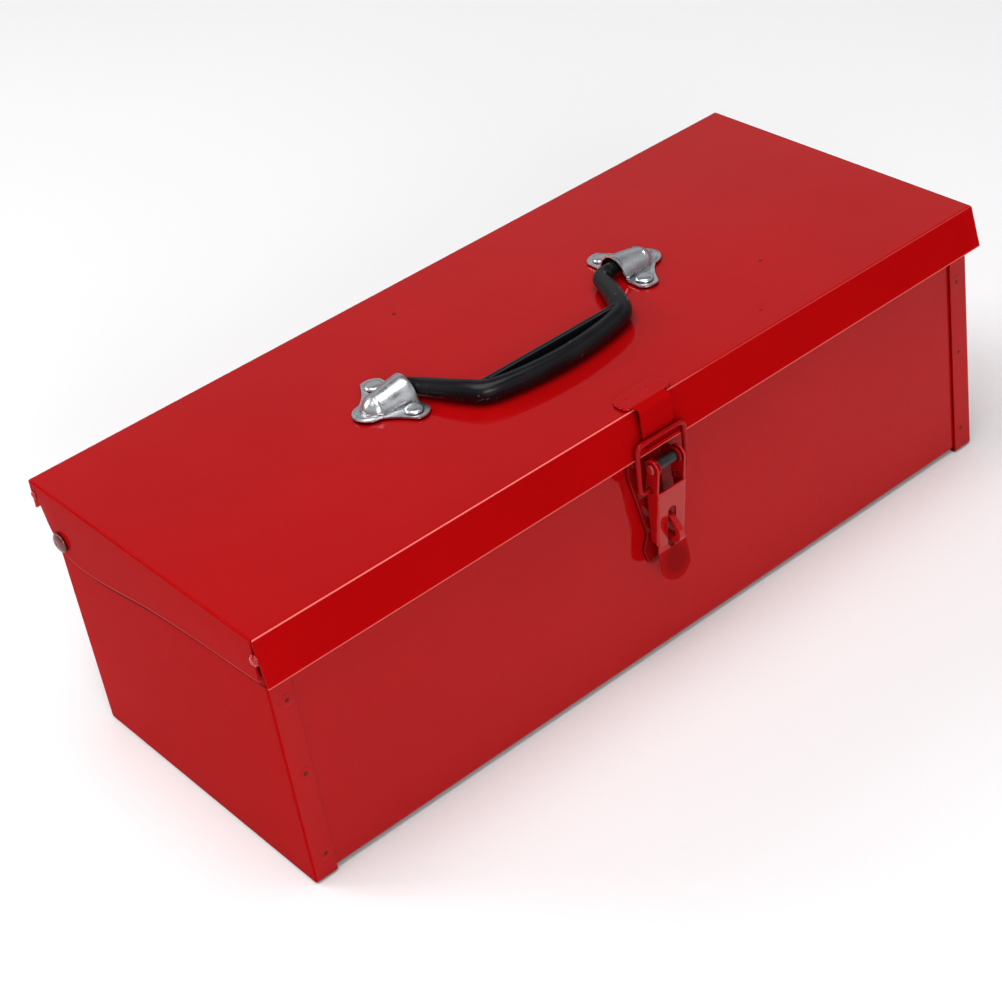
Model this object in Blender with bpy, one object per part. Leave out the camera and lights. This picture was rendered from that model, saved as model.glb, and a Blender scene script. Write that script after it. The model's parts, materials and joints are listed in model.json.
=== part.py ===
"""Folded sheet-steel tool box: hinged lid, folding bail handle and a toggle latch.

Sizes are millimetres and become metres where a mesh is made. X runs along the box, +Y to the
rear, +Z up, with the origin under the middle of the whole object.
"""
import math

import bmesh
import bpy
from mathutils import Vector

SCALE = 0.001
GAP = 0.3  # clearance between neighbouring pieces

# lid: outer size over the folds, and the depth of its front and rear lips
LID_LENGTH = 350.0
LID_DEPTH = 143.4
LID_TOP = 112.8
LID_SHEET = 0.8
FRONT_LIP = 17.9
FRONT_FLARE = 3.7
REAR_LIP = 12.8
REAR_FLARE = 0.7
FLAP_LEAN = 0.2
FOLD = 0.9  # outside radius of the lid's folds

# body: outer faces of the flanges of the end panels
BODY_LENGTH = 345.6
BODY_FRONT = -69.8
BODY_REAR = 66.9
BODY_TOP = 105.0
BODY_SHEET = 0.8
FLANGE = 9.6
PANEL_FOLD = 1.0
PANEL_CORNER = 1.5
HEM = 7.0

# lid hinge
HINGE_Y = 58.5
HINGE_Z = 90.5
RIVET_HEAD = 4.0
RIVET_SHANK = 2.0

# handle and its saddles
PIVOT_Y = 3.0
PIVOT_Z = 116.9
GRIP_RADIUS = 4.2
PIN_RADIUS = 2.9
HANDLE_X = -2.4  # the bail rests slightly off centre in its saddles
BEND_X = 36.8
BEND_Y = -21.0
BULGE_Y = -30.9
REST_Z = 117.5
SADDLE_MOUTH = 53.2
SADDLE_NOSE = 75.2
SADDLE_RIVET_X = 57.3
SADDLE_RIVET_SPAN = 24.6
CONE_HALF = 7.4
CONE_END = 70.5
CONE_TOP = 7.9
SADDLE_SHEET = 1.0

# latch: lever pivot, loop pivot and the loop's top bar
LEVER_Y = -77.9
LEVER_Z = 89.9
LOOP_Y = -75.6
LOOP_Z = 79.8
BAR_Y = -76.8
BAR_Z = 101.0
WIRE = 1.0
LOOP_HALF = 11.4
EAR = 3.7
LEVER_HALF = 7.0
LATCH_SHEET = 1.0
BASE_HALF = 11.6
KEEPER_X = 0.8
KEEPER_HALF = 7.6

# the whole object is centred on its own box, so everything moves back by this much
SHIFT_Y = 4.9


def rgb_material(name, colour, roughness, metallic=0.0):
    """A Principled material with the given linear colour."""
    made = bpy.data.materials.new(name)
    made.use_nodes = True
    shader = made.node_tree.nodes["Principled BSDF"]
    shader.inputs["Base Color"].default_value = (*colour, 1.0)
    shader.inputs["Roughness"].default_value = roughness
    shader.inputs["Metallic"].default_value = metallic
    made.diffuse_color = (*colour, 1.0)
    return made


def add(name, bm, colour, origin=(0.0, 0.0, 0.0), smooth_deg=35.0):
    """Make an object from a mesh in millimetres, with its origin at the given point."""
    bmesh.ops.remove_doubles(bm, verts=bm.verts, dist=0.001)
    bmesh.ops.recalc_face_normals(bm, faces=bm.faces)
    centre = Vector(origin)
    for vert in bm.verts:
        vert.co = (vert.co - centre) * SCALE
    mesh = bpy.data.meshes.new(name)
    bm.to_mesh(mesh)
    bm.free()
    mesh.shade_smooth()
    mesh.set_sharp_from_angle(angle=math.radians(smooth_deg))
    made = bpy.data.objects.new(name, mesh)
    made.location = (centre + Vector((0.0, SHIFT_Y, 0.0))) * SCALE
    made.data.materials.append(colour)
    bpy.context.collection.objects.link(made)
    return made


def boolean(target, tool, operation):
    """Add or take away a tool object, which stays in the scene as a hidden guide."""
    tool.hide_render = True
    tool.display_type = "WIRE"
    step = target.modifiers.new(tool.name, "BOOLEAN")
    step.operation = operation
    step.solver = "EXACT"
    step.object = tool
    return step


def thicken(target, thickness, offset=-1.0):
    """Give an outer skin its sheet thickness."""
    step = target.modifiers.new("sheet", "SOLIDIFY")
    step.thickness = thickness * SCALE
    step.offset = offset
    step.use_even_offset = True
    return step


def arc(centre, radius, start_deg, end_deg, steps):
    """Points on a circular arc in a plane."""
    points = []
    for i in range(steps + 1):
        angle = math.radians(start_deg + (end_deg - start_deg) * i / steps)
        points.append((centre[0] + radius * math.cos(angle), centre[1] + radius * math.sin(angle)))
    return points


def round_corners(points, radius, steps=4, closed=False):
    """Replace the corners of a flat outline with arcs."""
    count = len(points)
    result = []
    for i, here in enumerate(points):
        if not closed and i in (0, count - 1):
            result.append(tuple(here))
            continue
        corner = Vector(here)
        back = Vector(points[i - 1]) - corner
        ahead = Vector(points[(i + 1) % count]) - corner
        half = back.angle(ahead) / 2
        reach = min(radius / math.tan(half), 0.49 * back.length, 0.49 * ahead.length)
        true_radius = reach * math.tan(half)
        middle = corner + (back.normalized() + ahead.normalized()).normalized() * true_radius / math.sin(half)
        first = corner + back.normalized() * reach - middle
        last = corner + ahead.normalized() * reach - middle
        for k in range(steps + 1):
            spoke = first.lerp(last, k / steps).normalized() * true_radius
            result.append(tuple(middle + spoke))
    return result


def smooth_line(points, steps):
    """Catmull-Rom curve through points of any dimension."""
    line = [Vector(p) for p in points]
    ends = [line[0] * 2 - line[1], *line, line[-1] * 2 - line[-2]]
    result = []
    for i in range(len(line) - 1):
        a, b, c, d = ends[i:i + 4]
        for k in range(steps):
            t = k / steps
            result.append(0.5 * (2 * b + (c - a) * t + (2 * a - 5 * b + 4 * c - d) * t ** 2
                                 + (3 * b - a - 3 * c + d) * t ** 3))
    return [*result, line[-1]]


def offset_line(path, distance):
    """Shift an open flat path to its left by a distance, mitred at the corners."""
    result = []
    for i, here in enumerate(path):
        point = Vector(here)
        before = (point - Vector(path[i - 1])).normalized() if i else None
        after = (Vector(path[i + 1]) - point).normalized() if i < len(path) - 1 else None
        before = before or after
        after = after or before
        left = Vector((-(before.y + after.y), before.x + after.x)).normalized()
        stretch = max(0.3, left.dot(Vector((-before.y, before.x))))
        result.append(tuple(point + left * distance / stretch))
    return result


def prism(outline, place, low, high):
    """Extrude a flat outline; place turns (a, b, height) into a point."""
    bm = bmesh.new()
    rings = [[bm.verts.new(place(a, b, h)) for a, b in outline] for h in (low, high)]
    bm.faces.new(rings[0])
    bm.faces.new(rings[1])
    for i in range(len(outline)):
        k = (i + 1) % len(outline)
        bm.faces.new((rings[0][i], rings[0][k], rings[1][k], rings[1][i]))
    return bm


def along_x(a, b, height):
    """Outline in the YZ plane, extruded along X."""
    return (height, a, b)


def along_y(a, b, height):
    """Outline in the XZ plane, extruded along Y."""
    return (a, height, b)


def along_z(a, b, height):
    """Outline in the XY plane, extruded along Z."""
    return (a, b, height)


def folded_strip(path, thickness, low, high):
    """A folded sheet whose section is a path in the YZ plane, run along X."""
    return prism([*path, *reversed(offset_line(path, thickness))], along_x, low, high)


def turned(profile, centre, direction, sides=16):
    """Solid of revolution: profile points are (distance along the axis, radius)."""
    axis = Vector(direction).normalized()
    side = axis.orthogonal().normalized()
    other = axis.cross(side)
    bm = bmesh.new()
    rings = []
    for reach, radius in profile:
        middle = Vector(centre) + axis * reach
        if radius < 0.001:
            rings.append([bm.verts.new(middle)])
            continue
        angles = [2 * math.pi * k / sides for k in range(sides)]
        ring = [middle + side * radius * math.cos(a) + other * radius * math.sin(a) for a in angles]
        rings.append([bm.verts.new(p) for p in ring])
    for one, two in zip(rings, rings[1:]):
        for k in range(sides):
            corners = [one[k % len(one)], one[(k + 1) % len(one)], two[(k + 1) % len(two)], two[k % len(two)]]
            bm.faces.new(list(dict.fromkeys(corners)))
    for ring in (rings[0], rings[-1]):
        if len(ring) > 1:
            bm.faces.new(ring)
    return bm


def tube(points, radii, sides=12, end_cap=0.0, up=(0.0, 0.0, 1.0)):
    """Bar along a smooth line; radii are (across, along up), end_cap adds a pointed end."""
    line = [Vector(p) for p in points]
    tangents = []
    for i in range(len(line)):
        tangents.append((line[min(i + 1, len(line) - 1)] - line[max(i - 1, 0)]).normalized())
    bm = bmesh.new()
    rings = []
    for point, tangent, (wide, tall) in zip(line, tangents, radii):
        side = tangent.cross(Vector(up)).normalized()
        other = side.cross(tangent)
        angles = [2 * math.pi * (k + 0.5) / sides for k in range(sides)]
        ring = [point + side * math.cos(a) * wide + other * math.sin(a) * tall for a in angles]
        rings.append([bm.verts.new(p) for p in ring])
    for one, two in zip(rings, rings[1:]):
        for k in range(sides):
            m = (k + 1) % sides
            bm.faces.new((one[k], one[m], two[m], two[k]))
    for ring, point, outward in ((rings[0], line[0], -tangents[0]), (rings[-1], line[-1], tangents[-1])):
        if end_cap:
            tip = bm.verts.new(point + outward * end_cap)
            for k in range(sides):
                bm.faces.new((ring[k], ring[(k + 1) % sides], tip))
        else:
            bm.faces.new(ring)
    return bm


def dome_head(radius, height, shank, length, tail, tail_height):
    """Rivet profile from the crown of its head to the end of its set tail."""
    crown = [(-height * math.cos(math.radians(a)), radius * math.sin(math.radians(a))) for a in (0, 35, 65)]
    return [*crown, (-height * 0.25, radius), (0.0, radius * 0.98), (0.0, shank), (length, shank),
            (length, tail), (length + tail_height * 0.7, tail * 0.85), (length + tail_height, 0.0)]


# ---------------------------------------------------------------- body

def body_trough(paint):
    """Front, bottom and rear walls folded from one sheet, with hemmed top edges."""
    reach = GAP + BODY_SHEET
    front = BODY_FRONT + reach
    rear = BODY_REAR - reach
    turn = 2 * BODY_SHEET + GAP
    path = [(rear - turn, BODY_TOP - HEM), (rear - turn, BODY_TOP), (rear, BODY_TOP), (rear, reach),
            (front, reach), (front, BODY_TOP), (front + turn, BODY_TOP), (front + turn, BODY_TOP - HEM)]
    rounded = [path[0], *round_corners(path[0:4], 0.94, 3)[1:-1], *round_corners(path[2:6], 2.0, 3)[1:-1],
               *round_corners(path[4:8], 0.94, 3)[1:-1], path[-1]]
    half = BODY_LENGTH / 2 - BODY_SHEET - GAP
    add("body_trough", folded_strip(rounded, -BODY_SHEET, -half, half), paint)


def end_panel(name, side, paint):
    """End wall with flanges wrapped over the front, the bottom and the rear of the trough."""
    top = BODY_TOP - 1.0
    outline = round_corners([(BODY_REAR, top), (BODY_REAR, 0.0), (BODY_FRONT, 0.0), (BODY_FRONT, top)],
                            PANEL_CORNER, 4)
    face = BODY_LENGTH / 2
    section = []
    for a in (90, 60, 30, 0):
        angle = math.radians(a)
        section.append((face - PANEL_FOLD * (1 - math.sin(angle)), PANEL_FOLD * (1 - math.cos(angle))))
    section.append((face - FLANGE, 0.0))
    section.append((face - FLANGE, BODY_SHEET))
    inner = PANEL_FOLD - BODY_SHEET
    for a in (0, 45, 90):
        angle = math.radians(a)
        section.append((face - PANEL_FOLD + inner * math.sin(angle), PANEL_FOLD - inner * math.cos(angle)))
    bm = bmesh.new()
    inset = [offset_line(outline, -depth) for _, depth in section]
    rows = []
    for i in range(len(outline)):
        row = [bm.verts.new((side * x, *inset[k][i])) for k, (x, _) in enumerate(section)]
        rows.append(row)
    for one, two in zip(rows, rows[1:]):
        for k in range(len(section) - 1):
            bm.faces.new((one[k], one[k + 1], two[k + 1], two[k]))
    bm.faces.new([row[0] for row in rows])
    bm.faces.new([row[-1] for row in rows])
    bm.faces.new([*rows[0], *reversed(rows[-1])])
    panel = add(name, bm, paint)
    web = face - BODY_SHEET
    front, rear = BODY_FRONT + 6.0, BODY_REAR - 6.0
    edge = [(front, BODY_TOP - HEM), (rear, BODY_TOP - HEM), (rear, top), (front, top)]
    hem = prism(round_corners(edge, 1.5, 2, True), along_x, side * (web - 1.1), side * (web + 0.3))
    boolean(panel, add(name + "_hem_tool", hem, paint), "UNION")
    drill(panel, name + "_hole_tool", side, RIVET_SHANK + GAP, paint)


def drill(target, name, side, radius, paint):
    """Cut the hinge rivet's hole through a wall at one end of the box."""
    profile = [(-20.0, radius), (20.0, radius)]
    tool = turned(profile, (side * BODY_LENGTH / 2, HINGE_Y, HINGE_Z), (1, 0, 0))
    boolean(target, add(name, tool, paint), "DIFFERENCE")


# ---------------------------------------------------------------- lid

def lid_skin():
    """Outer skin of the lid: top, bent front and rear lips, and two end flaps."""
    half = LID_LENGTH / 2
    front = -LID_DEPTH / 2
    rear = LID_DEPTH / 2
    stations = 15
    bm = bmesh.new()

    def side_x(amount):
        return half - FOLD + FOLD * math.sin(amount)

    def edge_y(t):
        return front + FOLD + (rear - front - 2 * FOLD) * t

    front_edge = {s: bm.verts.new((s * (half - FOLD), front + FOLD, LID_TOP)) for s in (-1, 1)}
    rear_edge = {s: bm.verts.new((s * (half - FOLD), rear - FOLD, LID_TOP)) for s in (-1, 1)}
    border = {}
    for s in (-1, 1):
        inner = [bm.verts.new((s * (half - FOLD), edge_y(i / stations), LID_TOP)) for i in range(1, stations)]
        border[s] = [front_edge[s], *inner, rear_edge[s]]
    bm.faces.new([*border[-1], *reversed(border[1])])
    for s in (-1, 1):
        add_flap(bm, border[s], s, side_x)
    add_lip(bm, front_edge, -1, front, FRONT_LIP, FRONT_FLARE)
    add_lip(bm, rear_edge, 1, rear, REAR_LIP, REAR_FLARE)
    return bm


def add_lip(bm, edge, way, place, depth, flare):
    """Bend one long edge of the lid down into a lip that leans slightly outwards."""
    half = LID_LENGTH / 2
    sweep = math.pi / 2 - math.atan2(flare, depth)
    above = [edge[-1], edge[1]]
    for k in range(1, 5):
        angle = sweep * k / 4
        y = place - way * FOLD + way * FOLD * math.sin(angle)
        z = LID_TOP - FOLD * (1 - math.cos(angle))
        x = half - FOLD * (1 - k / 5)
        row = [bm.verts.new((-x, y, z)), bm.verts.new((x, y, z))]
        bm.faces.new((above[0], above[1], row[1], row[0]))
        above = row
    low = [bm.verts.new((s * (half - 0.2), place + way * flare, LID_TOP - depth)) for s in (-1, 1)]
    bm.faces.new((above[0], above[1], low[1], low[0]))


def flap_edge(count):
    """Lower edge of an end flap: shallow at the front, deep and rounded round the hinge rivet."""
    drop = [(-68.9, 19.2), (-54.0, 20.2), (-33.0, 21.2), (0.0, 24.0), (28.0, 28.4), (46.0, 30.2),
            (58.0, 28.6), (64.8, 21.0), (68.2, 9.4)]
    line = smooth_line(drop, 8)
    lengths = [0.0]
    for a, b in zip(line, line[1:]):
        lengths.append(lengths[-1] + (b - a).length)
    result = []
    for i in range(count):
        target = lengths[-1] * i / (count - 1)
        k = max(j for j, reached in enumerate(lengths) if reached <= target + 1e-6)
        k = min(k, len(line) - 2)
        share = (target - lengths[k]) / (lengths[k + 1] - lengths[k])
        result.append(line[k].lerp(line[k + 1], min(share, 1.0)))
    return result


def add_flap(bm, border, side, side_x):
    """Bend one end of the lid down into a flap with a curved lower edge."""
    above = border
    for k in range(1, 4):
        angle = math.pi / 2 * k / 3
        z = LID_TOP - FOLD * (1 - math.cos(angle))
        row = [bm.verts.new((side * side_x(angle), v.co.y, z)) for v in border]
        for i in range(len(row) - 1):
            bm.faces.new((above[i], above[i + 1], row[i + 1], row[i]))
        above = row
    low = flap_edge(len(border))
    for share in (0.5, 1.0):
        row = []
        for start, end in zip(border, low):
            y = start.co.y + (end.x - start.co.y) * share
            z = LID_TOP - FOLD - (end.y - FOLD) * share
            lean = FLAP_LEAN * (LID_TOP - z) / (LID_TOP - HINGE_Z)
            row.append(bm.verts.new((side * (LID_LENGTH / 2 - min(lean, FLAP_LEAN)), y, z)))
        for i in range(len(row) - 1):
            bm.faces.new((above[i], above[i + 1], row[i + 1], row[i]))
        above = row


def lid_shell(paint):
    """The lid, one sheet folded on four sides, drilled for the hinge rivets."""
    lid = add("lid_shell", lid_skin(), paint, (0.0, HINGE_Y, HINGE_Z))
    thicken(lid, LID_SHEET)
    for side, end in ((-1, "left"), (1, "right")):
        drill(lid, "lid_hole_tool_" + end, side, RIVET_SHANK + GAP, paint)


def hinge_set(end, side, worn, steel):
    """Rivet the lid turns on, and the washer that keeps the flap off the end panel."""
    panel = BODY_LENGTH / 2
    flap = LID_LENGTH / 2 - FLAP_LEAN
    seat = flap + GAP + 0.2
    grip = seat - panel + BODY_SHEET + GAP
    profile = dome_head(RIVET_HEAD, 1.6, RIVET_SHANK, grip, 3.4, 1.1)
    rivet = turned(profile, (side * seat, HINGE_Y, HINGE_Z), (-side, 0, 0))
    add("hinge_rivet_" + end, rivet, worn, (side * seat, HINGE_Y, HINGE_Z))
    near = panel + GAP
    far = flap - LID_SHEET - GAP
    bore = RIVET_SHANK + GAP
    ring = [(near, bore), (near, 4.6), (far, 4.6), (far, bore), (near, bore)]
    washer = turned(ring, (0.0, HINGE_Y, HINGE_Z), (side, 0, 0))
    washer.faces.ensure_lookup_table()
    for face in [f for f in washer.faces if len(f.verts) > 4]:
        washer.faces.remove(face)
    add("hinge_washer_" + end, washer, steel)


# ---------------------------------------------------------------- handle

def saddle_height(x, y):
    """Height of the stamped half-cone above the saddle's flange: it tapers to a blunt rounded end."""
    along = (x - SADDLE_MOUTH) / (CONE_END - SADDLE_MOUTH)
    if along >= 1:
        return 0.0
    taper = 1 - 0.40 * max(0.0, along)
    blunt = math.sqrt(1 - (max(0.0, along - 0.72) / 0.28) ** 2)
    across = abs(y) / (CONE_HALF * taper * max(0.3, blunt))
    if across >= 1:
        return 0.0
    return CONE_TOP * taper * blunt * (1 - across ** 2) ** 0.62


def saddle_half_width(x):
    """Half width of the saddle's flange: two rivet lobes joined smoothly to a rounded nose."""
    lobe_radius = 5.9
    nose_radius = 6.6
    reach = SADDLE_RIVET_SPAN / 2
    nose_x = SADDLE_NOSE - nose_radius
    away = x - SADDLE_RIVET_X
    if x >= nose_x:
        return max(0.5, math.sqrt(max(0.0, nose_radius ** 2 - (x - nose_x) ** 2)))
    if away <= 2.4:
        return reach + math.sqrt(lobe_radius ** 2 - away ** 2)
    start = reach + math.sqrt(lobe_radius ** 2 - 2.4 ** 2)
    share = (away - 2.4) / (nose_x - SADDLE_RIVET_X - 2.4)
    return start + (nose_radius - start) * share - 1.3 * math.sin(math.pi * share)


def saddle(end, side, zinc):
    """Stamped steel saddle that holds one end of the bail."""
    across_count = 21
    along_count = 19
    bm = bmesh.new()
    rows = []
    for i in range(along_count):
        t = i / (along_count - 1)
        x = SADDLE_MOUTH - 1.1 + (SADDLE_NOSE - SADDLE_MOUTH + 1.1) * (1 - (1 - t) ** 1.3)
        half = saddle_half_width(x)
        row = []
        for k in range(across_count):
            u = 2 * k / (across_count - 1) - 1
            y = u * half * (0.55 + 0.45 * abs(u))
            z = LID_TOP + GAP + saddle_height(x, y)
            row.append(bm.verts.new((side * x, PIVOT_Y + y, z)))
        rows.append(row)
    for one, two in zip(rows, rows[1:]):
        for k in range(across_count - 1):
            bm.faces.new((one[k], one[k + 1], two[k + 1], two[k]))
    made = add("handle_saddle_" + end, bm, zinc, smooth_deg=50.0)
    if made.data.polygons[0].normal.z < 0:
        made.data.flip_normals()
    thicken(made, SADDLE_SHEET, 1.0)
    for way, place in ((-1, "front"), (1, "rear")):
        spot = (side * SADDLE_RIVET_X, PIVOT_Y + way * SADDLE_RIVET_SPAN / 2, LID_TOP)
        hole = turned([(-3.0, RIVET_SHANK + GAP), (4.0, RIVET_SHANK + GAP)], spot, (0, 0, 1))
        boolean(made, add(f"saddle_hole_tool_{end}_{place}", hole, zinc), "DIFFERENCE")


def saddle_rivets(lid, zinc):
    """Four rivets through the saddles and the lid."""
    for end, side in (("left", -1), ("right", 1)):
        for way, place in ((-1, "front"), (1, "rear")):
            x = side * SADDLE_RIVET_X
            y = PIVOT_Y + way * SADDLE_RIVET_SPAN / 2
            seat = LID_TOP + GAP + SADDLE_SHEET + GAP
            length = seat - LID_TOP + LID_SHEET + GAP
            profile = dome_head(3.7, 1.2, RIVET_SHANK, length, 3.1, 0.9)
            add(f"saddle_rivet_{end}_{place}", turned(profile, (x, y, seat), (0, 0, -1)), zinc)
            hole = turned([(-3.0, RIVET_SHANK + GAP), (3.0, RIVET_SHANK + GAP)], (x, y, LID_TOP), (0, 0, 1))
            boolean(lid, add(f"lid_rivet_tool_{end}_{place}", hole, zinc), "DIFFERENCE")


def handle_line():
    """Centre line of the bail from one saddle to the other, folded forward onto the lid."""
    rise = REST_Z - PIVOT_Z
    pin = [(56.0, PIVOT_Y, PIVOT_Z), (51.8, PIVOT_Y, PIVOT_Z)]
    arm = [(47.2, PIVOT_Y - 2.0, PIVOT_Z), (42.8, PIVOT_Y - 11.5, PIVOT_Z + rise * 0.5),
           (BEND_X + 0.8, BEND_Y + 2.0, REST_Z), (BEND_X - 4.5, BEND_Y - 4.6, REST_Z),
           (18.0, BULGE_Y + 1.4, REST_Z)]
    left = [(-x, y, z) for x, y, z in pin] + [(HANDLE_X - x, y, z) for x, y, z in arm]
    right = [(HANDLE_X + x, y, z) for x, y, z in reversed(arm)] + pin[::-1]
    return smooth_line([*left, (HANDLE_X, BULGE_Y, REST_Z), *right], 3)


def handle_radii(line):
    """Half width and half height of the bail at each point of its centre line."""
    radii = []
    for point in line:
        away = abs(point.x - HANDLE_X)
        in_grip = min(1.0, max(0.0, (34.0 - away) / 11.0))
        along_arm = min(1.0, max(0.0, (away - BEND_X) / 11.0))
        in_saddle = min(1.0, max(0.0, (abs(point.x) - 47.6) / 2.4))
        wide = GRIP_RADIUS * (1.0 - 0.11 * in_grip - 0.14 * along_arm)
        tall = GRIP_RADIUS * (1.0 - 0.38 * along_arm)
        pin = PIN_RADIUS - 0.5 * min(1.0, max(0.0, (abs(point.x) - 52.0) / 2.2))
        radii.append(tuple(size + (pin - size) * in_saddle for size in (wide, tall)))
    return radii


def handle_grip(plastic):
    """Moulded bail: round arms, a bulged front tube, and a thin rear wall with a pocket between."""
    line = handle_line()
    radii = handle_radii(line)
    grip = add("handle_grip", tube(line, radii, 12, 0.6), plastic, (0.0, PIVOT_Y, PIVOT_Z), 60.0)
    wall_y = BEND_Y - 2.0
    low = REST_Z - GRIP_RADIUS * 0.86
    reach = BEND_X - 2.5
    corners = [(-reach, -1.0), (reach, -1.0), (reach, 1.0), (-reach, 1.0)]
    outline = [(HANDLE_X + x, wall_y + y) for x, y in corners]
    wall = prism(outline, along_z, low, REST_Z + GRIP_RADIUS * 0.86)
    boolean(grip, add("grip_wall_tool", wall, plastic), "UNION")
    leaf = [(-30.0, wall_y), (30.0, wall_y), (18.0, BULGE_Y + 1.6), (0.0, BULGE_Y + 0.4),
            (-18.0, BULGE_Y + 1.6)]
    floor = prism([(HANDLE_X + x, y) for x, y in leaf], along_z, low + 0.4, low + 2.2)
    boolean(grip, add("grip_floor_tool", floor, plastic), "UNION")


# ---------------------------------------------------------------- latch

def latch_keeper(paint):
    """Strap welded on the lid: a rounded plate on top, bent down to a hook for the loop."""
    top = LID_TOP + GAP + LATCH_SHEET
    throat = WIRE + 0.25
    face_y = BAR_Y + throat
    bend = round_corners([(-LID_DEPTH / 2 + 4.0, top), (face_y, top), (face_y, BAR_Z)], 1.6, 3)
    hook = arc((BAR_Y, BAR_Z - 0.1), throat, 0.0, -180.0, 6)
    path = [*bend[:-1], *hook, (BAR_Y - throat, BAR_Z - 0.5)]
    low = KEEPER_X - KEEPER_HALF
    keeper = add("latch_keeper", folded_strip(path, LATCH_SHEET, low, low + 2 * KEEPER_HALF), paint)
    front = -LID_DEPTH / 2 - 0.4
    lobe = [(-KEEPER_HALF, front), (KEEPER_HALF, front), (12.4, front + 1.4), (12.4, front + 9.6),
            (0.0, front + 10.6), (-10.9, front + 9.6), (-10.9, front + 1.4)]
    outline = [(KEEPER_X + x, y) for x, y in round_corners(lobe, 4.4, 3, True)]
    plate = prism(outline, along_z, LID_TOP + GAP, top)
    boolean(keeper, add("keeper_plate_tool", plate, paint), "UNION")


def ear_pair(name, target, half, sheet, outline, paint):
    """Join two side ears, at plus and minus half, onto a latch piece."""
    for side in (-1, 1):
        low = side * half
        ear = prism(outline, along_x, min(low, low + side * sheet), max(low, low + side * sheet))
        boolean(target, add(f"{name}_tool_{'left' if side < 0 else 'right'}", ear, paint), "UNION")


def latch_base(paint):
    """Tapered plate on the front wall, with two ears that hold the lever's pin."""
    wall = BODY_FRONT + GAP + BODY_SHEET
    back = wall - GAP
    front = back - LATCH_SHEET
    side = [(-BASE_HALF, 92.0), (-BASE_HALF, 84.0), (-8.6, 70.0), (-6.0, 56.0), (-8.6, 50.0), (-6.6, 42.0)]
    outline = [*side, *[(-a, b) for a, b in reversed(side)]]
    base = add("latch_base", prism(round_corners(outline, 3.0, 3, True), along_y, front, back), paint)
    ear = [(front + 0.4, 93.0), (LEVER_Y, LEVER_Z + 3.1), *arc((LEVER_Y, LEVER_Z), 3.1, 105, 255, 6),
           (LEVER_Y + 1.0, LEVER_Z - 3.1), (front + 0.4, 83.0)]
    ear_pair("base_ear", base, 4.6, 0.9, ear, paint)
    hole = turned([(-8.0, 1.5 + GAP), (8.0, 1.5 + GAP)], (0.0, LEVER_Y, LEVER_Z), (1, 0, 0))
    boolean(base, add("base_hole_tool", hole, paint), "DIFFERENCE")
    return front


def latch_pin(steel):
    """Pin that the lever turns on, headed at both ends, with a thick middle between the ears."""
    length = LEVER_HALF + GAP
    half = [(length + 0.9, 1.7), (length, 2.1), (length, 1.5), (4.2, 1.5), (4.2, 2.0)]
    profile = [(-a, r) for a, r in half] + [(a, r) for a, r in reversed(half)]
    add("latch_pin", turned(profile, (0.0, LEVER_Y, LEVER_Z), (1, 0, 0), 12), steel,
        (0.0, LEVER_Y, LEVER_Z))


def latch_lever(paint):
    """Over-centre lever: channel with round ears, a slot for the padlock eye, a finger tab."""
    top_z = 79.2
    side = LEVER_HALF - 0.9
    web_top = (-80.2, top_z)
    web_low = (-76.4, 53.0)
    tab_low = (-78.6, 36.4)
    web = [web_top, web_low, (-76.6, 50.5), tab_low]
    lever = add("latch_lever", folded_strip(web, LATCH_SHEET, -LEVER_HALF, LEVER_HALF), paint,
                (0.0, LEVER_Y, LEVER_Z))
    trim = [(-12.0, 85.0), (-7.0, 85.0), (-6.3, 54.0), (-8.0, 46.5), (-6.9, 41.0), (-3.6, 37.4), (0.0, 36.2)]
    shape = [*trim, *[(-a, b) for a, b in reversed(trim[:-1])]]
    keep = prism(shape, along_y, -90.0, -70.0)
    boolean(lever, add("lever_shape_tool", keep, paint), "INTERSECT")
    low_front = web_low[0] + 0.5
    ear = [(web_top[0] + 0.5, top_z), *arc((LEVER_Y, LEVER_Z), EAR, 200, -35, 8), (LOOP_Y + 2.6, LOOP_Z + 1.0),
           (LOOP_Y + 2.2, LOOP_Z - 3.0), (low_front + 3.0, 55.5), (low_front, 54.0)]
    ear_pair("lever_ear", lever, side, 0.9, ear, paint)
    slot = [(-1.9, 70.0), (1.9, 70.0), (1.9, 50.8), (-1.9, 50.8)]
    cut = prism(round_corners(slot, 1.85, 4, True), along_y, -90.0, -70.0)
    boolean(lever, add("lever_slot_tool", cut, paint), "DIFFERENCE")
    for place, y, z, radius in (("pin", LEVER_Y, LEVER_Z, 1.5 + GAP), ("loop", LOOP_Y, LOOP_Z, WIRE + GAP)):
        hole = turned([(-12.0, radius), (12.0, radius)], (0.0, y, z), (1, 0, 0), 12)
        boolean(lever, add("lever_hole_tool_" + place, hole, paint), "DIFFERENCE")


def latch_loop(paint):
    """Wire loop from the lever's ears up over the keeper's hook."""
    half = LOOP_HALF
    foot = LEVER_HALF - 0.9 - 1.3
    corners = [(-foot, 0.0), (-half, 0.0), (-half, 1.0), (half, 1.0), (half, 0.0), (foot, 0.0)]
    rise = Vector((BAR_Y - LOOP_Y, BAR_Z - LOOP_Z))
    flat = [(x, share * rise.length) for x, share in corners]
    path = [flat[0], *round_corners(flat, 2.4, 4)[1:-1], flat[-1]]
    lean = rise.normalized()
    line = [(x, LOOP_Y + lean.x * h, LOOP_Z + lean.y * h) for x, h in path]
    wire = tube(line, [(WIRE, WIRE)] * len(line), 10, up=(0.0, 1.0, 0.0))
    add("latch_loop", wire, paint, (0.0, LOOP_Y, LOOP_Z), 60.0)


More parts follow.
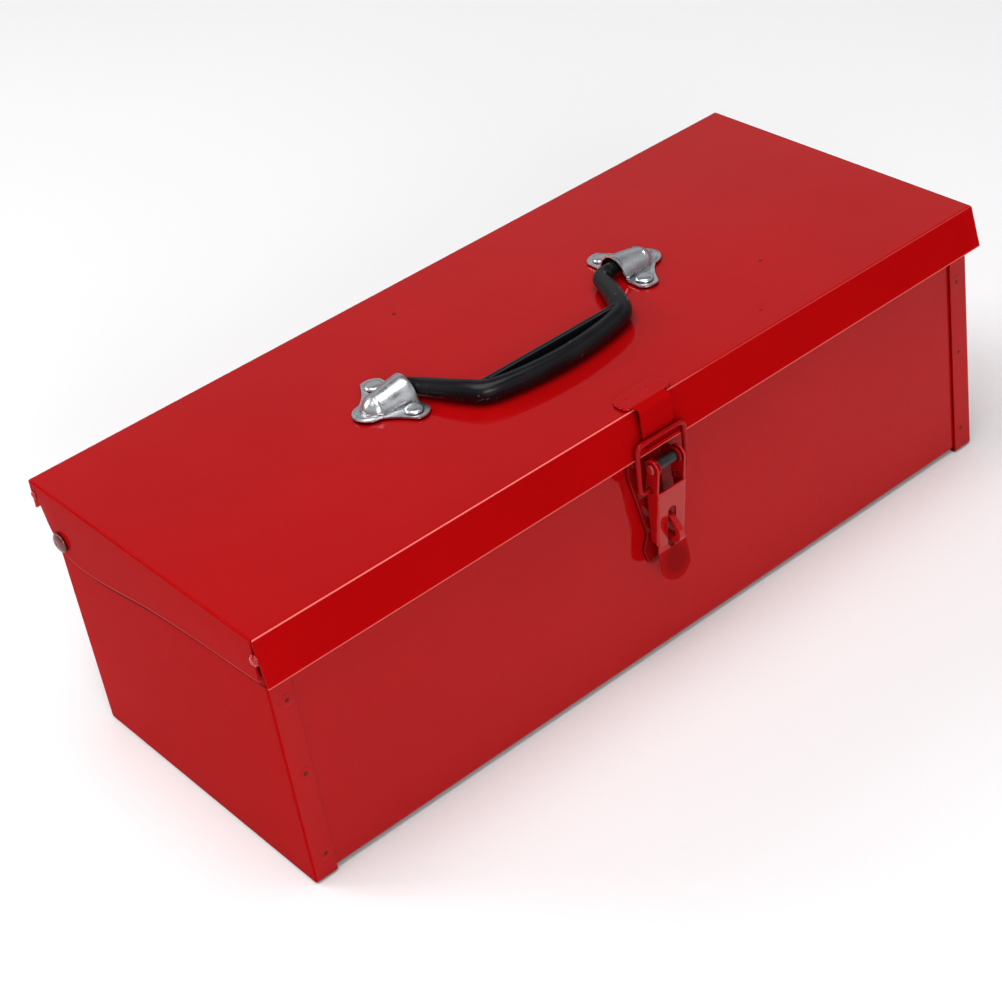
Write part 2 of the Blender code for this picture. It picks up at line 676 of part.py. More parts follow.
def padlock_eye(front, paint):
    """Eye on the base plate that stands out through the lever's slot."""
    root = front - GAP
    outline = [(root, 66.5), (-78.0, 66.0), (-82.6, 61.0), (-82.6, 56.5), (-79.5, 54.0), (root, 54.0)]
    eye = add("padlock_eye", prism(round_corners(outline, 3.0, 3, True), along_x, -1.2, 1.2), paint)
    hole = round_corners([(-73.6, 63.4), (-77.2, 63.2), (-80.0, 60.0), (-80.0, 57.6), (-78.6, 56.8),
                          (-73.6, 56.8)], 1.6, 3, True)
    boolean(eye, add("eye_hole_tool", prism(hole, along_x, -3.0, 3.0), paint), "DIFFERENCE")


def build():
    """Clear the scene and make every piece."""
    for item in list(bpy.data.objects):
        bpy.data.objects.remove(item, do_unlink=True)
    red = rgb_material("red_paint", (0.42, 0.006, 0.008), 0.16)
    worn = rgb_material("worn_red_paint", (0.35, 0.08, 0.08), 0.35, 0.4)
    zinc = rgb_material("zinc_plate", (0.62, 0.64, 0.66), 0.22, 1.0)
    steel = rgb_material("dark_steel", (0.10, 0.10, 0.10), 0.38, 0.9)
    black = rgb_material("black_plastic", (0.012, 0.012, 0.014), 0.38)
    body_trough(red)
    end_panel("end_panel_left", -1, red)
    end_panel("end_panel_right", 1, red)
    lid_shell(red)
    hinge_set("left", -1, worn, steel)
    hinge_set("right", 1, worn, steel)
    saddle("left", -1, zinc)
    saddle("right", 1, zinc)
    saddle_rivets(bpy.data.objects["lid_shell"], zinc)
    handle_grip(black)
    latch_keeper(red)
    plate_front = latch_base(red)
    latch_pin(steel)
    latch_lever(red)
    latch_loop(red)
    padlock_eye(plate_front, red)


build()
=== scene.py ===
"""Looks of a red sheet-steel tool box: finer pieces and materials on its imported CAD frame.

Sizes are millimetres, with Y measured from the middle of the lid, and become metres in placed().
"""

import json
import math

import bmesh
import bpy
from mathutils import Matrix, Vector, noise

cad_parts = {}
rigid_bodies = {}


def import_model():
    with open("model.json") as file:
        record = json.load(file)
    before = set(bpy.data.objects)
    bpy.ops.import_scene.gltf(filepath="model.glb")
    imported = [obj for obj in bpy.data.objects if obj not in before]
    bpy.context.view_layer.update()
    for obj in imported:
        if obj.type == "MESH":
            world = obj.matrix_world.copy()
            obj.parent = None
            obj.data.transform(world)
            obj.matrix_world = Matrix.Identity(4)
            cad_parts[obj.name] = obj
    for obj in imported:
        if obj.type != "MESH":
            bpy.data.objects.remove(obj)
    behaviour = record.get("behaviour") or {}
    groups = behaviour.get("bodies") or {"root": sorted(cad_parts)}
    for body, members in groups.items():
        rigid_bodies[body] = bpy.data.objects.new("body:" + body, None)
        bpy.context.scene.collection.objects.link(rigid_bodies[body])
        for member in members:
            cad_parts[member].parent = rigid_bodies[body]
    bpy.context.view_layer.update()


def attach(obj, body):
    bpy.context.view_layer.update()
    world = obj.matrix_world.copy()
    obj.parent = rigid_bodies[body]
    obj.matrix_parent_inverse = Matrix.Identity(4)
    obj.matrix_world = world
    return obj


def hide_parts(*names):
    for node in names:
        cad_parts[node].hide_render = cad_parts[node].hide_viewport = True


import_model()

SHIFT_Y = 4.9
GAP = 0.3

LID_LENGTH = 350.0
LID_DEPTH = 143.4
LID_TOP = 112.8
LID_SHEET = 0.8
FRONT_LIP = 17.9
FRONT_FLARE = 3.7
REAR_LIP = 12.8
REAR_FLARE = 0.7
FLAP_LEAN = 0.2
FOLD = 0.9

BODY_LENGTH = 345.6
BODY_FRONT = -69.8
BODY_REAR = 66.9
BODY_TOP = 105.0
BODY_SHEET = 0.8
FLANGE = 9.6
PANEL_FOLD = 1.0
PANEL_CORNER = 1.5
HEM = 7.0

# lower edge of the end flaps, as (depth, drop below the lid's top)
FLAP_EDGE = [(-68.9, 19.2), (-54.0, 20.2), (-33.0, 21.2), (0.0, 24.0), (28.0, 28.4), (46.0, 30.2),
             (58.0, 28.6), (64.8, 21.0), (68.2, 9.4)]

HINGE_Y = 58.5
HINGE_Z = 90.5
RIVET_HEAD = 4.0

PIVOT_Y = 3.0
PIVOT_Z = 116.9
GRIP_RADIUS = 4.2
PIN_RADIUS = 2.9
HANDLE_X = -2.4
BEND_X = 36.8
BEND_Y = -21.0
BULGE_Y = -30.9
REST_Z = 117.5
SADDLE_MOUTH = 53.2
SADDLE_NOSE = 75.2
SADDLE_RIVET_X = 57.3
SADDLE_RIVET_SPAN = 24.6
CONE_HALF = 7.4
CONE_END = 70.5
CONE_TOP = 7.9
SADDLE_SHEET = 1.0

LEVER_Y = -77.9
LEVER_Z = 89.9
LOOP_Y = -75.6
LOOP_Z = 79.8
BAR_Y = -76.8
BAR_Z = 101.0
WIRE = 1.0
LOOP_HALF = 11.4
EAR = 3.7
LEVER_HALF = 7.0
LATCH_SHEET = 1.0
BASE_HALF = 11.6
KEEPER_X = 0.8
KEEPER_HALF = 7.6

# where the paint changes, in metres: the box's ends, the lid's end folds and lip, the lever's tab
END_FACE = 0.1722
END_FOLD = 0.11275
LIP_FACE = -0.0667
TAB_TOP = 0.0508

# camera: where it looks from, how far, and how far it is rolled
VIEW_AZIMUTH = 34.54
VIEW_ELEVATION = 35.01
VIEW_ROLL = 9.75
VIEW_DISTANCE = 0.90034
VIEW_AIM = (-0.01956, 0.00575, 0.04693)
VIEW_LENS = 82.94


# ---- materials

class Material:
    """A Principled material with short calls for adding nodes."""

    def __init__(self, name, **sockets):
        self.made = bpy.data.materials.new(name)
        self.made.use_nodes = True
        self.tree = self.made.node_tree
        self.shader = self.tree.nodes["Principled BSDF"]
        self.place = self.node("ShaderNodeTexCoord").outputs["Object"]
        for key, value in sockets.items():
            self.shader.inputs[key.replace("_", " ")].default_value = value

    def node(self, kind, **settings):
        made = self.tree.nodes.new(kind)
        for key, value in settings.items():
            setattr(made, key, value)
        return made

    def link(self, source, target):
        self.tree.links.new(source, target)

    def drive(self, socket, value):
        self.link(value, self.shader.inputs[socket])

    def noise(self, scale, detail=3.0, rough=0.5, stretch=None):
        """Value of a noise pattern, with scale in features per metre."""
        made = self.node("ShaderNodeTexNoise")
        made.inputs["Scale"].default_value = scale
        made.inputs["Detail"].default_value = detail
        made.inputs["Roughness"].default_value = rough
        place = self.place
        if stretch:
            mapping = self.node("ShaderNodeMapping")
            mapping.inputs["Scale"].default_value = stretch
            self.link(place, mapping.inputs["Vector"])
            place = mapping.outputs["Vector"]
        self.link(place, made.inputs["Vector"])
        return made.outputs["Fac"]

    def span(self, value, low, high, to_low=0.0, to_high=1.0):
        """Map a value from one range to another, clamped."""
        made = self.node("ShaderNodeMapRange")
        self.link(value, made.inputs["Value"])
        for key, number in (("From Min", low), ("From Max", high), ("To Min", to_low), ("To Max", to_high)):
            made.inputs[key].default_value = number
        return made.outputs["Result"]

    def times(self, one, two, operation="MULTIPLY"):
        """Multiply two values, each a number or an output, or combine them by another operation."""
        made = self.node("ShaderNodeMath", operation=operation)
        for k, value in enumerate((one, two)):
            if isinstance(value, float):
                made.inputs[k].default_value = value
            else:
                self.link(value, made.inputs[k])
        return made.outputs["Value"]

    def size(self, value):
        """A value without its sign."""
        made = self.node("ShaderNodeMath", operation="ABSOLUTE")
        self.link(value, made.inputs[0])
        return made.outputs["Value"]

    def mix(self, share, one, two):
        """Blend two colours, each a tuple or an output."""
        made = self.node("ShaderNodeMix", data_type="RGBA")
        self.link(share, made.inputs["Factor"])
        for key, value in (("A", one), ("B", two)):
            socket = [s for s in made.inputs if s.name == key and s.type == "RGBA"][0]
            if isinstance(value, tuple):
                socket.default_value = (*value, 1.0)
            else:
                self.link(value, socket)
        return [s for s in made.outputs if s.type == "RGBA"][0]

    def layer(self, colour, layers):
        """Lay tints over a colour, each as (where, how strongly, tint)."""
        for where, share, tint in layers:
            colour = self.mix(self.times(where, share), colour, tint)
        return colour

    def bump(self, layers):
        """Stack height patterns, each (value, depth in metres), onto the shader's normal."""
        normal = None
        for value, depth in layers:
            made = self.node("ShaderNodeBump")
            made.inputs["Distance"].default_value = depth
            made.inputs["Strength"].default_value = 1.0
            self.link(value, made.inputs["Height"])
            if normal is not None:
                self.link(normal, made.inputs["Normal"])
            normal = made.outputs["Normal"]
        self.drive("Normal", normal)

    def specks(self, per_metre, radius, rare):
        """Scattered small spots: one in each few cells."""
        cells = self.node("ShaderNodeTexVoronoi")
        cells.inputs["Scale"].default_value = per_metre
        self.link(self.place, cells.inputs["Vector"])
        near = self.span(cells.outputs["Distance"], radius * per_metre * 0.6, radius * per_metre, 1.0, 0.0)
        split = self.node("ShaderNodeSeparateColor")
        self.link(cells.outputs["Color"], split.inputs["Color"])
        chosen = self.times(split.outputs["Red"], 1.0 - rare, "GREATER_THAN")
        return self.times(near, chosen)

    def along(self, axis):
        """One coordinate of the point being shaded, in metres."""
        split = self.node("ShaderNodeSeparateXYZ")
        self.link(self.place, split.inputs["Vector"])
        return split.outputs[axis]

    def facing_up(self):
        """How far the surface faces up in the piece's own frame."""
        split = self.node("ShaderNodeSeparateXYZ")
        self.link(self.node("ShaderNodeTexCoord").outputs["Normal"], split.inputs["Vector"])
        return split.outputs["Z"]

    def spot(self, centre, reach):
        """Share inside an ellipsoid in metres: 1 at its middle, 0 outside."""
        away = self.node("ShaderNodeVectorMath", operation="SUBTRACT")
        self.link(self.place, away.inputs[0])
        away.inputs[1].default_value = centre
        scaled = self.node("ShaderNodeVectorMath", operation="DIVIDE")
        self.link(away.outputs["Vector"], scaled.inputs[0])
        scaled.inputs[1].default_value = reach
        length = self.node("ShaderNodeVectorMath", operation="LENGTH")
        self.link(scaled.outputs["Vector"], length.inputs[0])
        return self.span(length.outputs["Value"], 0.6, 1.0, 1.0, 0.0)

    def flap_line(self, y):
        """Height in metres of the end flaps' lower edge at a depth y in metres."""
        line = smooth_line(FLAP_EDGE, 3)
        deepest = 40.0
        low, high = line[0].x, line[-1].x
        ramp = self.node("ShaderNodeValToRGB")
        while len(ramp.color_ramp.elements) < len(line):
            ramp.color_ramp.elements.new(1.0)
        for element, (depth, drop) in zip(ramp.color_ramp.elements, line):
            element.position = (depth - low) / (high - low)
            element.color = (drop / deepest, drop / deepest, drop / deepest, 1.0)
        self.link(self.span(y, (low + SHIFT_Y) * 0.001, (high + SHIFT_Y) * 0.001), ramp.inputs["Fac"])
        return self.span(ramp.outputs["Color"], 0.0, 1.0, LID_TOP * 0.001, (LID_TOP - deepest) * 0.001)

    def edges(self, low=0.53, high=0.6):
        """Convex edges of a dense mesh."""
        geometry = self.node("ShaderNodeNewGeometry")
        return self.span(geometry.outputs["Pointiness"], low, high)

    def shaded_hollows(self, reach, low=0.25, high=0.85):
        """Sheltered corners, where shade falls: the mask for painted shade."""
        made = self.node("ShaderNodeAmbientOcclusion")
        made.samples = 6
        made.inputs["Distance"].default_value = reach
        return self.span(made.outputs["AO"], low, high, 1.0, 0.0)


def red_paint(name, worn, marks=(), dark_face=None, rims=None, tone=1.0):
    """Glossy red enamel with orange peel, faint clouding, dust specks, painted shade in its corners and
    gaps and, if worn, rubbed edges.

    marks are larger dark specks as (centre, radius), dark_face a patch of painted shade as (centre, reach)
    that comes with painted shade over the lever's tab, and rims the (depth, height) beyond which a front
    fold gets a painted highlight; tone darkens the paint as painted shade.
    """
    gloss, coat = (0.25, 0.2) if worn else (0.11, 0.05)
    m = Material(name, Coat_Weight=coat, Coat_Roughness=0.03, Specular_IOR_Level=gloss * tone)
    cloud = m.span(m.noise(9.0, 3.0, 0.55), 0.35, 0.7)
    colour = m.mix(cloud, (0.385 * tone, 0.0018, 0.0026), (0.425 * tone, 0.0026, 0.0034))
    mottle = m.span(m.noise(160.0, 4.0, 0.6), 0.4, 0.75)
    # the corner-darkening layer is painted shade
    colour = m.layer(colour, [(mottle, 0.3, (0.375 * tone, 0.0018, 0.0025)),
                              (m.shaded_hollows(0.005), 0.7, (0.07, 0.0010, 0.0012)),
                              (m.specks(26.0, 0.00075, 0.05), 0.85, (0.045, 0.004, 0.004)),
                              (m.specks(70.0, 0.00030, 0.10), 0.7, (0.16, 0.012, 0.012))])
    for centre, radius in marks:
        colour = m.layer(colour, [(m.spot(centre, (radius,) * 3), 0.85, (0.05, 0.004, 0.004))])
    if dark_face:
        # painted shade: the tab below TAB_TOP is darkened, most of all in the dark_face patch, in place of
        # a dark reflection
        tab = m.span(m.along("Z"), TAB_TOP - 0.0002, TAB_TOP + 0.0002, 1.0, 0.0)
        colour = m.layer(colour, [(m.spot(*dark_face), 0.8, (0.12, 0.003, 0.003)),
                                  (tab, 0.5, (0.28, 0.003, 0.003))])
        m.drive("Specular IOR Level", m.span(tab, 0.0, 1.0, gloss, 0.03))
        m.drive("Coat Weight", m.span(tab, 0.0, 1.0, coat, 0.0))
    # painted highlight along the front fold and the lip's lower edge
    if rims:
        colour = painted_highlight_rims(m, colour, *rims)
    # on the plain paint, flat_ends adds a painted highlight or a painted shadow line at the flaps' edge
    if not worn and tone == 1.0:
        colour = flat_ends(m, colour, bool(rims), gloss, coat)
    rough = m.span(m.noise(30.0, 5.0, 0.6), 0.35, 0.72, 0.05, 0.11)
    if worn:
        rubbed = m.times(m.edges(0.525, 0.58), m.span(m.noise(420.0, 4.0, 0.7), 0.42, 0.6))
        colour = m.mix(m.times(rubbed, 0.75), colour, (0.36, 0.075, 0.075))
        rough = m.times(rough, m.times(rubbed, 0.16), "ADD")
    m.drive("Base Color", colour)
    m.drive("Roughness", rough)
    m.bump([(m.noise(22.0, 2.0, 0.4), 0.00022), (m.noise(620.0, 2.0, 0.45), 0.0000085)])
    return m.made


def painted_highlight_rims(m, colour, depth, height):
    """Paint a highlight on a front fold past a depth and a height, mostly on its left, and on the lip's
    lower edge.
    """
    x, y, z = (m.along(axis) for axis in "XYZ")
    soft = 0.0001
    fold = m.times(m.span(y, depth - soft, depth + soft, 1.0, 0.0), m.span(z, height - soft, height + soft))
    fold = m.times(fold, m.span(x, -0.01, 0.03, 1.0, 0.15))
    above_edge = m.times(z, m.times(x, 0.00514), "SUBTRACT")
    rim = m.times(m.span(above_edge, 0.0952, 0.0954, 0.55, 0.0), m.span(y, -0.066, -0.067))
    return m.mix(m.times(fold, rim, "MAXIMUM"), colour, (0.90, 0.20, 0.17))


def flat_ends(m, colour, on_lid, gloss, coat):
    """Dull the paint on the ends and the lip, and paint a highlight on the flaps' lower edge or a shadow
    line under it.
    """
    x, y, z = (m.along(axis) for axis in "XYZ")
    flat = m.times(m.times(m.size(x), END_FACE, "GREATER_THAN"), m.times(z, END_FOLD, "LESS_THAN"))
    left_gloss = 0.0045
    faint = m.times(flat, left_gloss)
    # the painted shadow line lies this far below the flaps' lower edge
    shadow_drop = 0.0029
    below = m.times(z, m.flap_line(y), "SUBTRACT")
    if on_lid:
        # painted highlight along the flaps' lower edge
        colour = m.mix(m.times(m.span(below, 0.0003, 0.0006, 0.40, 0.0), flat), colour, (0.80, 0.12, 0.11))
        flat = m.times(flat, m.times(y, LIP_FACE, "LESS_THAN"), "MAXIMUM")
    else:
        # painted shadow line on the end panel under the flaps' edge
        away = m.size(m.times(below, shadow_drop, "ADD"))
        colour = m.mix(m.times(m.span(away, 0.0004, 0.0010, 0.75, 0.0), flat), colour, (0.09, 0.001, 0.001))
    m.drive("Specular IOR Level", m.times(m.span(flat, 0.0, 1.0, gloss, 0.0), faint, "ADD"))
    m.drive("Coat Weight", m.span(flat, 0.0, 1.0, coat, 0.0))
    return colour


def zinc(name):
    """Bright plated steel, softly streaked, with painted shade in its stamped corners and on its downward
    faces.
    """
    m = Material(name, Metallic=1.0)
    shaded_underside = m.times(m.facing_up(), -0.05, "LESS_THAN")
    streak = m.span(m.noise(120.0, 5.0, 0.65, (1.0, 5.0, 2.0)), 0.35, 0.7)
    colour = m.mix(streak, (0.58, 0.60, 0.63), (0.80, 0.81, 0.82))
    # the corner-darkening layer is painted shade
    colour = m.layer(colour, [(m.shaded_hollows(0.006, 0.10, 0.60), 0.95, (0.03, 0.03, 0.03)),
                              (m.specks(260.0, 0.00035, 0.12), 0.5, (0.25, 0.24, 0.23))])
    # painted shade: faces that point down are painted near black
    colour = m.mix(shaded_underside, colour, (0.02, 0.02, 0.02))
    m.drive("Base Color", colour)
    m.drive("Roughness", m.span(m.noise(300.0, 4.0, 0.6), 0.3, 0.75, 0.20, 0.40))
    m.bump([(m.noise(90.0, 2.0, 0.5), 0.00018), (m.noise(1300.0, 2.0, 0.5), 0.000008)])
    return m.made


def worn_rivet(name):
    """Rivet head whose paint is rubbed to greyish metal on the crown and stays red at the rim,
    with painted shade in its crevices.
    """
    m = Material(name)
    bare = m.times(m.edges(0.46, 0.54), m.span(m.noise(700.0, 4.0, 0.7), 0.30, 0.55))
    colour = m.mix(bare, (0.20, 0.008, 0.010), (0.15, 0.07, 0.065))
    # painted shade in the crevices
    colour = m.mix(m.times(m.shaded_hollows(0.002), 0.8), colour, (0.05, 0.004, 0.004))
    m.drive("Base Color", colour)
    m.drive("Metallic", m.times(bare, 0.75))
    m.drive("Roughness", m.span(m.noise(500.0, 3.0), 0.3, 0.7, 0.22, 0.42))
    m.bump([(m.noise(900.0, 3.0, 0.6), 0.00005)])
    return m.made


def dark_steel(name, painted_beyond=None):
    """Oiled mild steel, with streaks and brownish painted shade in its crevices; its ends may carry red
    paint.
    """
    m = Material(name, Metallic=0.4)
    streak = m.span(m.noise(260.0, 4.0, 0.6), 0.35, 0.7)
    colour = m.mix(streak, (0.010, 0.009, 0.009), (0.040, 0.036, 0.034))
    # brownish painted shade in the crevices
    colour = m.mix(m.times(m.shaded_hollows(0.003), 0.7), colour, (0.02, 0.012, 0.010))
    if painted_beyond:
        end = m.times(m.size(m.along("X")), painted_beyond * 0.001, "GREATER_THAN")
        colour = m.mix(end, colour, (0.36, 0.006, 0.008))
        m.drive("Metallic", m.span(end, 0.0, 1.0, 0.4, 0.0))
    m.drive("Base Color", colour)
    m.drive("Roughness", m.span(m.noise(420.0, 3.0, 0.6), 0.3, 0.7, 0.25, 0.5))
    m.bump([(m.noise(1400.0, 3.0, 0.6), 0.00002)])
    return m.made


def black_plastic(name):
    """Semi-matt moulded plastic, finely grained, with faint scuffs and painted highlights on its convex
    edges.
    """
    m = Material(name, Specular_IOR_Level=0.22)
    cloud = m.span(m.noise(60.0, 4.0, 0.6), 0.35, 0.7)
    colour = m.mix(cloud, (0.0045, 0.0045, 0.0055), (0.009, 0.009, 0.0105))
    scuff = m.times(m.specks(110.0, 0.00055, 0.10), m.span(m.noise(900.0, 3.0), 0.45, 0.6))
    # the layer on convex edges is a painted highlight; the scuffs are wear
    colour = m.layer(colour, [(scuff, 0.7, (0.16, 0.16, 0.165)),
                              (m.edges(0.508, 0.528), 0.8, (0.07, 0.07, 0.075))])
    m.drive("Base Color", colour)
    m.drive("Roughness", m.span(m.noise(90.0, 5.0, 0.6), 0.3, 0.7, 0.20, 0.32))
    m.bump([(m.noise(45.0, 2.0, 0.5), 0.00022), (m.noise(2100.0, 3.0, 0.6), 0.000018)])
    return m.made


# ---- mesh tools

def put(name, bm, body, nodes, look, sharp=35.0, edge=0.0, sheet=0.0, sheet_side=-1.0):
    """Turn a millimetre mesh into a piece that rides on a body and stands for CAD nodes."""
    bmesh.ops.remove_doubles(bm, verts=bm.verts, dist=0.002)
    bmesh.ops.recalc_face_normals(bm, faces=bm.faces)
    made = placed(bm, name)
    dress(made, body, nodes, look)
    made.data.shade_smooth()
    made.data.set_sharp_from_angle(angle=math.radians(sharp))
    if sheet:
        step = made.modifiers.new("sheet", "SOLIDIFY")
        step.thickness = sheet * 0.001
        step.offset = sheet_side
        step.use_even_offset = True
    if edge:
        bevel(made, edge, 2, 50.0)
    step = made.modifiers.new("faces", "WEIGHTED_NORMAL")
    step.keep_sharp = True
    step.weight = 100
    return made


def bevel(made, width, segments, angle):
    """Round the edges sharper than an angle in degrees."""
    step = made.modifiers.new("edge", "BEVEL")
    step.width = width * 0.001
    step.segments = segments
    step.limit_method = "ANGLE"
    step.angle_limit = math.radians(angle)


def combine(made, tool, operation):
    """Cut a piece with another object, or keep what they share."""
    step = made.modifiers.new("cut", "BOOLEAN")
    step.operation = operation
    step.solver = "EXACT"
    step.object = tool


def add_object(name, data):
    made = bpy.data.objects.new(name, data)
    bpy.context.scene.collection.objects.link(made)
    return made


def placed(bm, name):
    """A new object from a millimetre mesh, in metres and in the shared frame."""
    for vert in bm.verts:
        vert.co = (vert.co + Vector((0.0, SHIFT_Y, 0.0))) * 0.001
    mesh = bpy.data.meshes.new(name)
    bm.to_mesh(mesh)
    bm.free()
    return add_object(name, mesh)


def dress(made, body, nodes, look):
    """Give a piece its body, the CAD nodes it stands for and its material."""
    made.data.materials.clear()
    made.data.materials.append(look)
    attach(made, body)
    if nodes:
        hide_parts(*nodes)


def baked(made, name):
    """The mesh of an object with its modifiers applied, as a new object; the old one goes."""
    bpy.context.view_layer.update()
    evaluated = made.evaluated_get(bpy.context.evaluated_depsgraph_get())
    mesh = bpy.data.meshes.new_from_object(evaluated)
    mesh.name = name
    bpy.data.objects.remove(made, do_unlink=True)
    return add_object(name, mesh)


def loose(bm, name="part"):
    """A plain object in metres from a millimetre mesh, for use as a building block."""
    bmesh.ops.remove_doubles(bm, verts=bm.verts, dist=0.002)
    bmesh.ops.recalc_face_normals(bm, faces=bm.faces)
    return placed(bm, name)


def melt(name, blocks, cutters, voxel, rounds, body, nodes, look):
    """Fuse overlapping blocks, cut the cutters away, and soften every edge as paint does."""
    fused = bmesh.new()
    for block in blocks:
        mesh = bpy.data.meshes.new("block")
        bmesh.ops.recalc_face_normals(block, faces=block.faces)
        block.to_mesh(mesh)
        fused.from_mesh(mesh)
        block.free()
        bpy.data.meshes.remove(mesh)
    target = placed(fused, name + "_raw")
    remesh(target, voxel)
    for cutter in cutters:
        combine(target, loose(cutter), "DIFFERENCE")
    target = baked(target, name + "_cut")
    remesh(target, voxel)
    step = target.modifiers.new("soften", "SMOOTH")
    step.factor = 0.5
    step.iterations = rounds
    for tool in [o for o in bpy.data.objects if o.name.startswith("part")]:
        bpy.data.objects.remove(tool, do_unlink=True)
    made = baked(target, name)
    dress(made, body, nodes, look)
    made.data.shade_smooth()
    return made


def remesh(target, voxel):
    """Add an even voxel remesh of the given size in millimetres."""
    step = target.modifiers.new("remesh", "REMESH")
    step.mode = "VOXEL"
    step.voxel_size = voxel * 0.001
    step.adaptivity = 0.0


def arc(centre, radius, start_deg, end_deg, steps):
    """Points on a circular arc in a plane."""
    points = []
    for i in range(steps + 1):
        angle = math.radians(start_deg + (end_deg - start_deg) * i / steps)
        points.append((centre[0] + radius * math.cos(angle), centre[1] + radius * math.sin(angle)))
    return points


def round_corners(points, radius, steps=8, closed=False):
    """Replace the corners of a flat outline with arcs."""
    count = len(points)
    result = []
    for i, here in enumerate(points):
        if not closed and i in (0, count - 1):
            result.append(tuple(here))
            continue
        corner = Vector(here)
        back = Vector(points[i - 1]) - corner
        ahead = Vector(points[(i + 1) % count]) - corner
        half = back.angle(ahead) / 2
        reach = min(radius / math.tan(half), 0.49 * back.length, 0.49 * ahead.length)
        true_radius = reach * math.tan(half)
        inward = (back.normalized() + ahead.normalized()).normalized()
        middle = corner + inward * true_radius / math.sin(half)
        first = corner + back.normalized() * reach - middle
        last = corner + ahead.normalized() * reach - middle
        for k in range(steps + 1):
            spoke = first.lerp(last, k / steps).normalized() * true_radius
            result.append(tuple(middle + spoke))
    return result


def smooth_line(points, steps):
    """Catmull-Rom curve through points of any dimension."""
    line = [Vector(p) for p in points]
    ends = [line[0] * 2 - line[1], *line, line[-1] * 2 - line[-2]]
    result = []
    for i in range(len(line) - 1):
        a, b, c, d = ends[i:i + 4]
        for k in range(steps):
            t = k / steps
            result.append(0.5 * (2 * b + (c - a) * t + (2 * a - 5 * b + 4 * c - d) * t ** 2
                                 + (3 * b - a - 3 * c + d) * t ** 3))
    return [*result, line[-1]]


def offset_line(path, distance):
    """Shift an open flat path to its left by a distance, mitred at the corners."""
    result = []
    for i, here in enumerate(path):
        point = Vector(here)
        before = (point - Vector(path[i - 1])).normalized() if i else None
        after = (Vector(path[i + 1]) - point).normalized() if i < len(path) - 1 else None
        before = before or after
        after = after or before
        left = Vector((-(before.y + after.y), before.x + after.x)).normalized()
        stretch = max(0.3, left.dot(Vector((-before.y, before.x))))
        result.append(tuple(point + left * distance / stretch))
    return result


def prism(outline, place, low, high):
    """Extrude a flat outline; place turns (a, b, height) into a point."""
    bm = bmesh.new()
    rings = [[bm.verts.new(place(a, b, h)) for a, b in outline] for h in (low, high)]
    bm.faces.new(rings[0])
    bm.faces.new(rings[1])
    join_rings(bm, rings)
    return bm


def join_rings(bm, rings):
    """Fill the faces between rings of vertices, any of which may be a single point."""
    for one, two in zip(rings, rings[1:]):
        for k in range(max(len(one), len(two))):
            corners = [one[k % len(one)], one[(k + 1) % len(one)],
                       two[(k + 1) % len(two)], two[k % len(two)]]
            bm.faces.new(list(dict.fromkeys(corners)))


def along_x(a, b, height):
    return (height, a, b)


def along_y(a, b, height):
    return (a, height, b)


def along_z(a, b, height):
    return (a, b, height)


def folded_strip(path, thickness, low, high):
    """A folded sheet whose section is a path in the YZ plane, run along X."""
    return prism([*path, *reversed(offset_line(path, thickness))], along_x, low, high)


def turned(profile, centre, direction, sides=48, bm=None):
    """Solid of revolution: profile points are (distance along the axis, radius)."""
    axis = Vector(direction).normalized()
    side = axis.orthogonal().normalized()
    other = axis.cross(side)
    bm = bm or bmesh.new()
    rings = []
    for reach, radius in profile:
        middle = Vector(centre) + axis * reach
        if radius < 0.001:
            rings.append([bm.verts.new(middle)])
            continue
        angles = [2 * math.pi * k / sides for k in range(sides)]
        ring = [middle + side * radius * math.cos(a) + other * radius * math.sin(a) for a in angles]
        rings.append([bm.verts.new(p) for p in ring])
    join_rings(bm, rings)
    for ring in (rings[0], rings[-1]):
        if len(ring) > 1:
            bm.faces.new(ring)
    return bm


def tube(points, radii, sides=36, end_cap=0.0, up=(0.0, 0.0, 1.0)):
    """Bar along a smooth line; radii are (across, along up), end_cap adds a rounded end."""
    line = [Vector(p) for p in points]
    tangents = []
    for i in range(len(line)):
        tangents.append((line[min(i + 1, len(line) - 1)] - line[max(i - 1, 0)]).normalized())
    if end_cap:
        caps = [(0.55, 0.85), (0.9, 0.5)]
        head = [line[0] - tangents[0] * end_cap * far for far, _ in reversed(caps)]
        tail = [line[-1] + tangents[-1] * end_cap * far for far, _ in caps]
        shrink = [share for _, share in caps]
        radii = [*[(radii[0][0] * s, radii[0][1] * s) for s in reversed(shrink)], *radii,
                 *[(radii[-1][0] * s, radii[-1][1] * s) for s in shrink]]
        tangents = [tangents[0]] * 2 + tangents + [tangents[-1]] * 2
        line = [*head, *line, *tail]
    bm = bmesh.new()
    rings = []
    for point, tangent, (wide, tall) in zip(line, tangents, radii):
        side = tangent.cross(Vector(up)).normalized()
        other = side.cross(tangent)
        angles = [2 * math.pi * (k + 0.5) / sides for k in range(sides)]
        ring = [point + side * math.cos(a) * wide + other * math.sin(a) * tall for a in angles]
        rings.append([bm.verts.new(p) for p in ring])
    join_rings(bm, rings)
    bm.faces.new(rings[0])
    bm.faces.new(rings[-1])
    return bm


def grid_faces(bm, rows):
    """Fill the quads between rows of vertices."""
    for one, two in zip(rows, rows[1:]):
        for k in range(len(one) - 1):
            bm.faces.new((one[k], one[k + 1], two[k + 1], two[k]))


# ---- body

